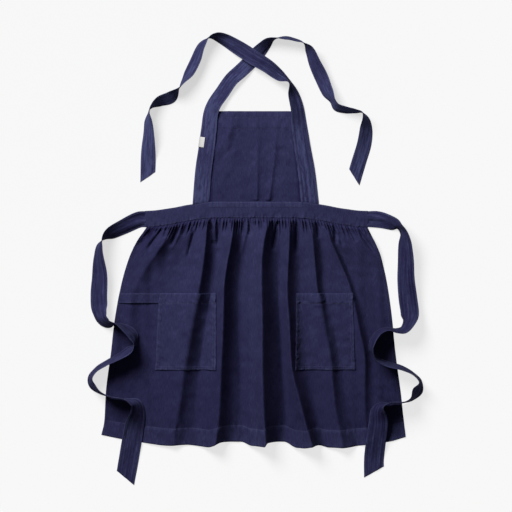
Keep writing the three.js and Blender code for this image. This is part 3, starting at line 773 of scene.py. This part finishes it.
def skirt_top(column, level):
    """The skirt's upper face: folds, gathers, creases and unevenness over its plan, thicker by a layer at
    the hem and the sides, drawn in along the seams."""
    x, y = skirt_plan(column, level)
    from_hem = (HEM - level) * HEM_SPAN
    from_side = np.minimum(column, RIGHT_EDGE - column) * SIDE_SPAN
    z = fold_height(SKIRT_FOLDS, FOLD_ROWS, x, y) + gather_height(column, level)
    z = z + crease_height(SKIRT_CREASES, x, y)
    z = CLOTH + GAP + z * smooth_step(level, -0.003, 0.042)
    # lengthwise unevenness and a finer one both ways, calm at the waist
    calm = smooth_step(level, 0, 0.3)
    z = z + calm * (0.9 * soft_noise(x, 0.15 * y, 42, 11) + 0.3 * soft_noise(x, y, 32, 12))
    # the hem's second layer, the puckers and the dip of its seam, and the side hems
    z = z + 0.8 * ease_off(from_hem, HEM_DEPTH - 1, HEM_DEPTH + 2)
    seam_pull = bell(from_hem - HEM_DEPTH, 13)
    z = z + seam_pull * 0.55 * soft_noise(x, 0.25 * y, 13, 13)
    z = z - 0.7 * bell(from_hem - HEM_DEPTH, 2)
    z = z + 0.7 * ease_off(from_side, SIDE_HEM - 2, SIDE_HEM + 1)
    return np.stack(np.broadcast_arrays(x, y, np.maximum(z, CLOTH + FLOOR_CLEAR)), -1)


print("Little clefts:", GATHERS, "laid creases:", len(SKIRT_CREASES))

# %% [markdown]
# The skirt's grid is finest at the waist and round the hem's seam, where the cloth bends most. Its wear and
# painted shade are a sum: hems and seams are rubbed pale, and a strip down the middle is paler, more so lower
# down. Painted shade darkens the lower skirt, the left flank, the upper left corner and the clefts.

# %% Make the skirt
HEM_SEAM = HEM - HEM_DEPTH / HEM_SPAN
SIDE_SEAM = SIDE_HEM / SIDE_SPAN
skirt_columns = spread(range(RIGHT_EDGE + 1), [54, 80, 72, 70, 80, 48])
level_stops = [WAIST, 0.3, MOUTH, FOOT, HEM_SEAM - 0.04, HEM_SEAM + 0.04, HEM]
skirt_levels = spread(level_stops, [26, 26, 30, 20, 6, 8])
column, level = np.meshgrid(skirt_columns, skirt_levels)
from_hem = (HEM - level) * HEM_SPAN
hem_band = ease_off(from_hem, HEM_DEPTH - 1, HEM_DEPTH + 2)
skirt_wear_and_shade = (
    0.12 * hem_band
    + 0.12 * fade(from_hem, 5)
    + 0.10 * bell((HEM_SEAM - level) * HEM_SPAN, 3)
    + 0.10 * fade(np.minimum(column, RIGHT_EDGE - column) * SIDE_SPAN, 5)
    # painted shade: darker towards the hem, on the left flank, in the upper left corner and in the little
    # clefts
    - 0.11 * smooth_step(level, 0.5, 2.2)
    - 0.06 * ease_off(column, 0.8, 1.7) * ease_off(level, 1.2, 2)
    - 0.25 * ease_off(column, 0.1, 0.5) * ease_off(level, 0.1, 0.45)
    - 0.35 * gather_clefts(column, level) * ease_off(level, 0.05, 0.2)
    # paler along a strip down the middle, more so lower down, and along the right part of the hem
    + (0.05 + 0.07 * smooth_step(level, 1, 2)) * bell(column - 2.9, 0.26)
    + 0.05 * hem_band * smooth_step(column, 3, 5)
)
skirt = laid_cloth("skirt_cloth", skirt_top(column, level), skirt_wear_and_shade)
skirt_seams = [
    [(place, HEM_SEAM) for place in (0.02, 1, 2, 3, 4, 5, 5.98)],
    [(SIDE_SEAM, place) for place in (0.02, 1, 2.98)],
    [(RIGHT_EDGE - SIDE_SEAM, place) for place in (0.02, 1, 2.98)],
]
skirt_stitches = stitch_piece("skirt_stitches", [seam(skirt_top, line) for line in skirt_seams])
declare(skirt, "skirt", skirt_stitches)

# %% [markdown]
# ## Pockets
# A patch pocket is a rectangle of the same cloth, sewn down at three sides. It follows the folds of the
# skirt under it and stands off a little at the mouth, where a hand goes in. So its surface is the
# skirt's own, moved out along the skirt's normals.

# %% Pocket surface
POCKET_WIDE, POCKET_LONG = 155, POCKET_MOUTH - POCKET_FOOT
POCKET_HEM, TURNED_EDGE, POCKET_SLACK = 25, 8, 4
SEAM_INSETS = (2.5, 8)
# the small stitched box at each upper corner, in shares of the pocket
BOX_LEFTS, BOX_WIDE, BOX_TOP, BOX_FOOT = (0.016, 0.93), 0.054, 0.012, 0.07


def pocket_top(line, seed):
    """A pocket's upper face at a share of the way across and down: the skirt's face between two warp
    lines and two levels, moved out by a layer, a gap, the slack and the turned edges."""
    def surface(across, down):
        across, down = paired(across, down)
        ground = skirt_top(line + across, MOUTH + down)
        out = surface_normals(skirt_top, line + across, MOUTH + down)
        from_side = to_edge(across) * POCKET_WIDE
        from_mouth, from_foot = down * POCKET_LONG, (1 - down) * POCKET_LONG
        edge = np.minimum(from_side, from_foot)
        inside = np.clip(across, 0, 1)
        # the slack at the mouth, the turned edges, and the hem with the dip of its seam
        lift = POCKET_SLACK * np.sin(np.pi * inside) * np.cos(np.pi / 2 * np.clip(down, 0, 1))
        lift = lift + 0.7 * ease_off(edge, TURNED_EDGE - 1, TURNED_EDGE + 1)
        lift = lift + 0.7 * ease_off(from_mouth, POCKET_HEM - 1, POCKET_HEM + 1)
        lift = lift - 0.5 * bell(from_mouth - POCKET_HEM, 1.8)
        # puckers along the seams, and the cloth's own unevenness
        x, y = ground[..., 0], ground[..., 1]
        pull = bell(edge, 16) + bell(from_mouth - POCKET_HEM, 9)
        lift = lift + 0.4 * pull * soft_noise(x, y, 15, seed) + 0.5 * soft_noise(x, y, 45, seed + 1)
        return ground + out * (CLOTH + GAP + np.maximum(lift, 0))[..., None]

    return surface


def sewn_pocket(name, node, line, seed):
    """A pocket with its double seams at three sides, its mouth seam and a small box at each corner."""
    top = pocket_top(line, seed)
    across = spread([0, 0.07, 0.93, 1], [8, 92, 8])
    down = spread([0, 0.1, 0.16, 0.94, 1], [8, 12, 84, 10])
    u, v = np.meshgrid(across, down)
    edge, from_mouth = np.minimum(to_edge(u) * POCKET_WIDE, (1 - v) * POCKET_LONG), v * POCKET_LONG
    wear_and_shade = 0.14 * fade(edge, 6) + 0.11 * fade(from_mouth, 4)
    wear_and_shade = wear_and_shade + 0.08 * bell(from_mouth - POCKET_HEM, 3) + 0.05 * (from_mouth < POCKET_HEM)
    piece = laid_cloth(name, top(u, v), wear_and_shade)
    paths = []
    for inset in SEAM_INSETS:
        a, b = inset / POCKET_WIDE, 1 - inset / POCKET_LONG
        paths.append([(a, 0.01), (a, b), (1 - a, b), (1 - a, 0.01)])
    hem = POCKET_HEM / POCKET_LONG
    paths.append([(0.02, hem), (0.98, hem)])
    for left in BOX_LEFTS:
        right = left + BOX_WIDE
        upper, lower = [(left, BOX_TOP), (right, BOX_TOP)], [(right, BOX_FOOT), (left, BOX_FOOT)]
        paths.append([*upper, *lower, upper[0]])
    stitches = stitch_piece(node + "_stitches", [seam(top, path) for path in paths])
    declare(piece, node, stitches)


sewn_pocket("left_pocket_cloth", "left_pocket", 1, 21)
sewn_pocket("right_pocket_cloth", "right_pocket", 4, 25)

# %% [markdown]
# ## Towel loop
# A narrow strip from the skirt's left edge to the corner of the left pocket. It lies loose in between, so
# a towel can be pulled through. Like the pockets it borrows the skirt's face, so it follows the fold below.

# %% Towel loop
LOOP_WIDE, LOOP_SLACK = 25, 2.5


def loop_top(across, down):
    """The loop's upper face: the skirt's face left of the pocket, raised by a layer, two gaps and the
    slack, a half sine across."""
    across, down = paired(across, down)
    ground = skirt_top(across, MOUTH + down * (LOOP_WIDE / POCKET_LONG))
    lift = LOOP_SLACK * np.sin(np.pi * np.clip(across, 0, 1)) + CLOTH + 2 * GAP
    lift = lift + 0.4 * soft_noise(ground[..., 0], ground[..., 1], 30, 31)
    return ground + np.stack([0 * lift - GAP * across, 0 * lift, lift], -1)


u, v = np.meshgrid(np.linspace(0, 1, 70), np.linspace(0, 1, 18))
loop_wear = 0.13 * fade(to_edge(v) * LOOP_WIDE, 3)
towel_loop = laid_cloth("towel_loop_cloth", loop_top(u, v), loop_wear)
loop_stitches = stitch_piece("towel_loop_stitches", [
    seam(loop_top, [(0.01, down), (0.99, down)]) for down in (0.12, 0.88)
])
declare(towel_loop, "towel_loop", loop_stitches)

# %% [markdown]
# ## Waistband
# A flat double band. The gathers pull its lower edge into small puckers, and a narrow strip along its
# upper edge covers the bib's raw edge. A bevelled box would be too stiff, so its face is a level surface with
# its edges rolled down and seeded puckers that grow towards the skirt.

# %% Waistband
BAND_THICK = 3.0
STRIP_HALF, STRIP_HEIGHT = 121, 13


def waist_top(across, down):
    """The waistband's upper face: level, rolled down at its long edges, puckered towards the skirt."""
    across, down = paired(across, down)
    x = lerp(WAIST_LEFT, WAIST_RIGHT, across)
    y = waist_middle(x) + WAIST_HEIGHT * (0.5 - down)
    from_edge = to_edge(down) * WAIST_HEIGHT
    pucker = 0.6 * soft_noise(x, 0.3 * y, 14, 41) * smooth_step(down, 0.35, 1)
    pucker = pucker + 0.7 * soft_noise(x, 0.3 * y, 8, 43) * smooth_step(down, 0.72, 1)
    strip = 0.7 * ease_off(down * WAIST_HEIGHT, STRIP_HEIGHT - 1, STRIP_HEIGHT + 1)
    strip = strip * ease_off(np.abs(x), STRIP_HALF - 2, STRIP_HALF + 2)
    roll = -0.9 * fade(from_edge, 1.5)
    z = BAND_THICK + GAP + roll + strip + np.maximum(pucker, -0.5) + 0.35 * soft_noise(x, y, 45, 42)
    return np.stack([x, y, z], -1)


u, v = np.meshgrid(np.linspace(0, 1, 260), np.linspace(0, 1, 34))
waist_x = lerp(WAIST_LEFT, WAIST_RIGHT, u)
waist_wear = 0.10 * fade(to_edge(v) * WAIST_HEIGHT, 3)
waist_wear = waist_wear + 0.10 * (v * WAIST_HEIGHT < STRIP_HEIGHT) * (np.abs(waist_x) < STRIP_HALF)
waist_wear = waist_wear + 0.04
waistband = laid_cloth("waistband_cloth", waist_top(u, v), waist_wear, thickness=BAND_THICK)
waist_stitches = stitch_piece("waistband_stitches", [
    seam(waist_top, [(0.01, 0.07), (0.5, 0.07), (0.99, 0.07)]),
    seam(waist_top, [(0.01, 0.93), (0.5, 0.93), (0.99, 0.93)]),
    seam(waist_top, [(0.285, 0.31), (0.705, 0.31)]),
    seam(waist_top, [(0.008, 0.07), (0.008, 0.93)]),
    seam(waist_top, [(0.992, 0.07), (0.992, 0.93)]),
])
declare(waistband, "waistband", waist_stitches)

# %% [markdown]
# ## Bib
# The chest panel: nearly flat, with a deep top hem, a soft crease down its middle and a few wrinkles from
# being folded away. Its sides lie under the bands, and painted shade darkens the cloth beside them. It is
# made as the skirt is, from a few folds and creases in tables.

# %% Bib
BIB_TOP, BIB_WIDE, BIB_LAP = 385, 268, 15
# y, left side, right side
BIB_SIDES = np.array([(140, -121, 119), (230, -114, 110), (300, -104, 100), (390, -100, 92)])
# left foot, crest, right foot, rise, at the waist, halfway and at the top
BIB_FOLD_ROWS = (150, 267, 385)
BIB_FOLDS = [
    ((-102, -92, -88), (-83, -72, -68), (-47, -31, -22), (0, 1.6, 3.2)),
    ((-18, -25, -28), (4, 6, 8), (13, 22, 30), (5.5, 1.8, 0)),
    ((14, 25, 33), (35, 50, 58), (45, 64, 76), (6.5, 3.6, 0)),
]
# x0, y0, x1, y1, breadth, rise
BIB_CREASES = [
    (-46, 372, -104, 268, 13, 3.4),
    (-34, 312, -92, 262, 7, -2.0),
    (38, 300, 86, 292, 9, 1.6),
    (40, 284, 84, 279, 7, -1.0),
    (4, 380, 4, 160, 5, 0.8),
]
BIB_LENGTH, BIB_HEM_SEAMS = 235, (16, 44)
bib_left = table_curve(BIB_SIDES[:, 0], BIB_SIDES[:, 1])
bib_right = table_curve(BIB_SIDES[:, 0], BIB_SIDES[:, 2])


def bib_top(across, down):
    """The bib's upper face between its lapped sides, from the top hem to the waistband, lifted by its
    folds, creases and unevenness, and thicker by a layer in the hem."""
    across, down = paired(across, down)
    waist_edge = WAIST_MIDDLE + WAIST_HEIGHT / 2 + 0 * across
    foot_x = lerp(bib_left(waist_edge) - BIB_LAP, bib_right(waist_edge) + BIB_LAP, across)
    y = lerp(BIB_TOP, waist_middle(foot_x) + WAIST_HEIGHT / 2 + GAP, down)
    x = lerp(bib_left(y) - BIB_LAP, bib_right(y) + BIB_LAP, across)
    from_top = BIB_TOP - y
    from_waist = y - waist_middle(x) - WAIST_HEIGHT / 2
    z = fold_height(BIB_FOLDS, BIB_FOLD_ROWS, x, y) + crease_height(BIB_CREASES, x, y)
    z = CLOTH + z * smooth_step(from_waist, 0, 7)
    z = z + 0.5 * soft_noise(x, y, 70, 51) + 0.25 * soft_noise(x, y, 24, 52)
    z = z + 0.6 * ease_off(from_top, BIB_HEM_SEAMS[1] - 1, BIB_HEM_SEAMS[1] + 1)
    for depth in BIB_HEM_SEAMS:
        z = z - 0.4 * bell(from_top - depth, 1.8)
        z = z + 0.3 * soft_noise(x, 0.3 * y, 12, 53) * bell(from_top - depth, 8)
    return np.stack([x, y, np.clip(z, CLOTH, None)], -1)


u, v = np.meshgrid(np.linspace(0, 1, 150), np.linspace(0, 1, 150))
band_gap = to_edge(u) * BIB_WIDE - BIB_LAP - 3 * v
# the top edge rubbed pale, and the bib darker towards the waistband
bib_wear_and_shade = 0.14 * fade(v * BIB_LENGTH, 4) - 0.06 * smooth_step(v, 0.45, 1)
# painted shade beside the bands
bib_wear_and_shade = bib_wear_and_shade - 0.3 * bell(band_gap, 4) * smooth_step(v, 0.1, 0.5)
bib_wear_and_shade = bib_wear_and_shade + 0.04 * (v * BIB_LENGTH < BIB_HEM_SEAMS[1]) + 0.05 * smooth_step(u, 0.5, 0.9)
bib = laid_cloth("bib_cloth", bib_top(u, v), bib_wear_and_shade)
bib_stitches = stitch_piece("bib_stitches", [
    seam(bib_top, [(0.07, depth / BIB_LENGTH), (0.93, depth / BIB_LENGTH)]) for depth in BIB_HEM_SEAMS
])
declare(bib, "bib", bib_stitches)

# %% [markdown]
# ## Straps and ties
# Straps and ties are long ribbons that twist as they lie: flat in one place, standing on edge in the next.
# A bevelled curve object twists too, but it can't rest its lower edge on the floor. So each ribbon is a flat
# profile carried along a route, whose rows give its place, how far it is turned about its own line, the
# height of its lower edge and its width. Paler and darker stretches are given as tones from the sewn to the
# loose end.

# %% Ribbons
# the sine of a roll below which a ribbon counts as flat, and the side where its edge seams run
SOFT_TILT, EDGE_SEAM = 0.1, 0.8
RIBBON_STEPS = 14


def smooth_route(points):
    """A curve through plan points, and its heading (a centripetal Catmull-Rom curve): between two points a
    cubic, whose end slopes weigh the steps around them by the roots of their lengths."""
    ends = 2 * points[[0, -1]] - points[[1, -2]]
    p = np.concatenate([ends[:1], points, ends[1:]])
    root = np.sqrt(np.linalg.norm(np.diff(p, axis=0), axis=1))[:, None]
    p0, p1, p2, p3 = p[:-3], p[1:-2], p[2:-1], p[3:]
    d0, d1, d2 = root[:-2], root[1:-1], root[2:]
    leave = d1 * ((p1 - p0) / d0 - (p2 - p0) / (d0 + d1) + (p2 - p1) / d1)
    arrive = d1 * ((p2 - p1) / d1 - (p3 - p1) / (d1 + d2) + (p3 - p2) / d2)
    square, cube = 3 * (p2 - p1) - 2 * leave - arrive, 2 * (p1 - p2) + leave + arrive

    def curve(place):
        span = np.clip(np.floor(place).astype(int), 0, len(points) - 2)
        t = (place - span)[..., None]
        spot = p1[span] + t * (leave[span] + t * (square[span] + t * cube[span]))
        heading = leave[span] + t * (2 * square[span] + 3 * t * cube[span])
        return spot, unit(heading)

    return curve


def ribbon_surface(route, cuts, seed, layer, pleat):
    """A face of a ribbon at a place along its route and a side from -1 to 1. The width points to the left
    of the way that it runs, turned up by the roll; the cuts slant both ends. The cloth bows a little,
    ripples along its length and may start in pleats, which fade over the first three rows."""
    last = len(route) - 1
    plan = smooth_route(route[:, :2])
    roll, lift, width = (level_curve(route[:, k]) for k in (2, 3, 4))

    def surface(side, place):
        side, place = paired(side, place)
        spot, heading = plan(place)
        turn, half = np.radians(roll(place))[..., None], (width(place) / 2)[..., None]
        flat = np.zeros_like(half)
        along = np.concatenate([heading, flat], -1)
        left = np.concatenate([-heading[..., 1:], heading[..., :1], flat], -1)
        up = np.array([0, 0, 1])
        edge = left * np.cos(turn) + up * np.sin(turn)
        face = np.cross(along, edge)
        tilt = np.sin(turn)
        raised = np.hypot(tilt, SOFT_TILT) - SOFT_TILT * bell(tilt, 3 * SOFT_TILT)
        height = lift(place)[..., None] + half * raised + np.abs(face[..., 2:]) * CLOTH / 2
        slant = cuts[0] * np.clip(1 - place, 0, None) + cuts[1] * np.clip(place - last + 1, 0, None)
        middle = np.concatenate([spot, height], -1) + edge * half * side[..., None]
        middle = middle + along * (side * slant / 2)[..., None]
        # ripples, finer ripples, and the pleats that it may start in
        ripple = 0.4 * soft_noise(34 * place, 14 * side, 60, seed)
        ripple = ripple + 0.35 * soft_noise(8 * place, 20 * side, 17, seed + 1)
        ripple = ripple + pleat * ease_off(place, 0.8, 3.6) * np.cos(5 * (side - 0.25))
        # the cloth bows across its width, with a ridge beside each edge seam
        bow = 0.8 * (side**2 - 0.4) + 0.5 * bell(np.abs(side) - 0.78, 0.09)
        point = middle + face * (layer * CLOTH / 2 + ripple - 0.4 * layer * bow)[..., None]
        point[..., 2] = np.maximum(point[..., 2], FLOOR_CLEAR)
        return point

    return surface


def make_ribbon(name, node, rows, width, cuts, seed, paler, pleat=0, crossed_at=()):
    """A ribbon with a row of stitches along both edges of both faces, and one across its upper face at each
    place in crossed_at. A row without a height lies on the floor, and one without a width has the full
    one. paler gives its tones at even steps from end to end; streaks run along it, its edges are rubbed
    and a dark line follows each edge seam."""
    route = np.array([(*row, *(0, width)[len(row) - 3:]) for row in rows], float)
    over, under = (ribbon_surface(route, cuts, seed, layer, pleat) for layer in (1, -1))
    last = len(route) - 1
    sides = spread([-1, -0.65, 0.65, 1], [6, 14, 6])
    places = np.linspace(0, last, last * RIBBON_STEPS + 1)
    side, place = np.meshgrid(sides, places)
    streaks = soft_noise(2 * place, 30 * side, 7, seed + 2)
    wear_and_shade = level_curve(paler)((len(paler) - 1) * place / last) + 0.12 * streaks
    wear_and_shade = wear_and_shade + 0.26 * smooth_step(np.abs(side), 0.8, 0.97)
    wear_and_shade = wear_and_shade - 0.12 * bell(np.abs(side) - 0.68, 0.08)
    piece = cloth_wall(name, over(side, place), under(side, place), wear_and_shade, TWILL)
    seams = []
    for edge in (-EDGE_SEAM, EDGE_SEAM):
        line = [(edge, k) for k in np.linspace(0.05, last - 0.05, last + 1)]
        seams += [seam(over, line), seam(under, line, -1)]
    seams += [seam(over, [(-0.9, place), (0, place), (0.9, place)]) for place in crossed_at]
    stitches = stitch_piece(node + "_stitches", seams)
    declare(piece, node, stitches)


# %% [markdown]
# The straps start as the bib's side bands, cross above it, and end loose on the other side. Where the
# roll passes 90 degrees the ribbon stands on its edge, and beyond that it shows its back. The seam of the
# bib's hem runs on across both bands.

# %% Shoulder straps
STRAP, BAND_LIFT = 38, CLOTH + GAP
# where the hem's seam crosses the bands, in rows from their start
LEFT_CROSSED, RIGHT_CROSSED = 3.08, 2.86
LEFT_STRAP_PALER = (0.30, 0.26, 0.22, 0.16, 0.14, 0.13, 0.20, 0.50, 0.38, 0.24)
RIGHT_STRAP_PALER = (0.22, 0.19, 0.14, 0.02, 0.10, 0.10, 0.32, 0.45, 0.33, 0.36)
# x, y, roll in degrees, height of the lower edge, width; cuts are the slants of the two ends
LEFT_STRAP = [
    (-142, 147, 0, BAND_LIFT, 42), (-135, 233, -5, BAND_LIFT, 42), (-127, 290, -5, BAND_LIFT, 41),
    (-121, 337, -3, BAND_LIFT, 40), (-116, 380, -9, BAND_LIFT), (-107, 403, -14, 2), (-87, 433, -12, 1),
    (-62, 468, -16), (-38, 490, -12), (-5, 523, 4), (17, 547, 36), (34, 563, 58), (51, 573, 90),
    (79, 574, 108), (105, 569, 106), (125, 560, 92), (139, 545, 62), (153, 511, 42), (170, 474, 30),
    (187, 435, 42), (200, 410, 72), (212, 394, 64), (233, 387, 67), (259, 384, 79), (276, 381, 92),
    (286, 364, 122), (287, 337, 150), (282, 298, 168), (269, 253, 178), (257, 214, 180),
]
RIGHT_STRAP = [
    (142, 147, 0, BAND_LIFT, 45), (133, 227, 0, BAND_LIFT, 44), (122, 292, 0, BAND_LIFT, 42),
    (114, 348, 8, BAND_LIFT, 40), (109, 390, 25, BAND_LIFT), (99, 428, 40, 1), (89, 460, 76),
    (64, 476, 40), (33, 500, 20, 9), (-5, 523, 2, 16), (-40, 546, -16, 9), (-77, 568, -38),
    (-100, 577, -58), (-120, 575, -90), (-139, 555, -122), (-155, 519, -135), (-170, 487, -135),
    (-187, 461, -110), (-198, 445, -90), (-220, 420, -42), (-248, 410, -52), (-272, 393, -88),
    (-276, 381, -100), (-278, 360, -121), (-277, 331, -138), (-278, 290, -160), (-279, 251, -178),
    (-280, 214, -180),
]
LEFT_STRAP_CUTS, RIGHT_STRAP_CUTS = (-9.5, -33), (10.5, 28)
make_ribbon("left_strap_cloth", "left_strap", LEFT_STRAP, STRAP, LEFT_STRAP_CUTS, 61,
            LEFT_STRAP_PALER, crossed_at=[LEFT_CROSSED])
make_ribbon("right_strap_cloth", "right_strap", RIGHT_STRAP, STRAP, RIGHT_STRAP_CUTS, 64,
            RIGHT_STRAP_PALER, crossed_at=[RIGHT_CROSSED])

# %% [markdown]
# The ties are wider and softer. They are pleated into the waistband's ends, stand on edge for most of
# their way, and swing in S-bends over the skirt's sides.

# %% Waist ties
TIE, TIE_PLEAT = 51, 1.6
LEFT_TIE_PALER = (0.0, -0.02, 0.03)
RIGHT_TIE_PALER = (0.10, 0.05, -0.04, -0.03, -0.14, 0.13, 0.20, -0.15, 0.15)
LEFT_TIE = [
    (-285, 105, 0, 1.2, 40), (-303, 103, -8, 2.0, 42), (-342, 85, -25, 1.5, 42), (-373, 69, -48, 0, 46),
    (-394, 52, -88), (-403, 35, -112), (-406, 4, -126), (-404, -40, -143), (-406, -84, -150),
    (-406, -113, -150), (-404, -134, -140), (-398, -153, -128, 1), (-381, -166, -118, 4),
    (-360, -165, -90, 7), (-337, -177, -72, 8.5), (-316, -196, -64, 9.5), (-312, -217, -86, 9),
    (-328, -235, -110, 7.5), (-357, -253, -107, 6), (-386, -268, -103, 4), (-412, -285, -102),
    (-427, -306, -107), (-422, -327, -113), (-404, -343, -104, 2), (-378, -354, -97, 5),
    (-352, -359, -97, 6), (-328, -363, -82, 6), (-309, -374, -62, 6), (-305, -396, -46, 6),
    (-313, -428, -20, 6), (-322, -477, -4, 5), (-331, -529, 0, 0.5), (-338, -568, 0),
]
RIGHT_TIE = [
    (290, 105, 0, 1.2, 40), (316, 104, 8, 2.0, 42), (339, 99, 22, 1.5, 41), (360, 91, 45, 0, 44),
    (374, 83, 78), (384, 69, 72), (387, 43, 54), (389, 4, 44), (390, -45, 35), (396, -105, 25),
    (400, -142, 30), (397, -163, 56), (384, -182, 70, 1), (365, -184, 79, 5), (344, -179, 83, 8),
    (321, -187, 78, 10), (303, -209, 76, 12), (299, -233, 82, 13), (313, -255, 100, 11),
    (344, -270, 104, 7), (381, -282, 101, 4), (409, -295, 97), (426, -316, 103), (420, -340, 126),
    (405, -361, 106), (381, -369, 97, 4), (352, -371, 97, 7), (326, -376, 78, 9.5), (317, -393, 44, 10),
    (318, -425, 18, 9.5), (312, -477, 4, 6), (308, -521, 0, 0.5), (308, -552, 0),
]
LEFT_TIE_CUTS, RIGHT_TIE_CUTS = (5.3, 28.5), (-1.7, -29)
make_ribbon("left_tie_cloth", "left_waist_tie", LEFT_TIE, TIE, LEFT_TIE_CUTS, 71,
            LEFT_TIE_PALER, TIE_PLEAT)
make_ribbon("right_tie_cloth", "right_waist_tie", RIGHT_TIE, TIE, RIGHT_TIE_CUTS, 74,
            RIGHT_TIE_PALER, TIE_PLEAT)

# %% [markdown]
# ## Label
# A short folded white tape, sewn over the outer edge of the left band and left bare. A plane with a
# Solidify modifier would do; the same grid as for the cloth gives it a slight bow and rounded edges.

# %% Label
LABEL_WIDE, LABEL_LONG, LABEL_THICK = 14, 26, 1.0
LABEL_AT, LABEL_TURN = (-140, 305), -0.13


def label_top(across, down):
    """The label's upper face: a rectangle turned about its middle, bowed a little along its length."""
    a, b = (across - 0.5) * LABEL_WIDE, (0.5 - down) * LABEL_LONG
    x = LABEL_AT[0] + a * np.cos(LABEL_TURN) - b * np.sin(LABEL_TURN)
    y = LABEL_AT[1] + a * np.sin(LABEL_TURN) + b * np.cos(LABEL_TURN)
    base = BAND_LIFT + CLOTH + GAP + LABEL_THICK
    z = base + 1.0 * (2 * across - 1) ** 2 * (1 - across) + 0.5 * np.sin(np.pi * down)
    return np.stack(np.broadcast_arrays(x, y, z), -1)


u, v = np.meshgrid(np.linspace(0, 1, 22), np.linspace(0, 1, 34))
label = laid_cloth("label_cloth", label_top(u, v), 0 * u, TAPE, LABEL_THICK)
declare(label, "label")
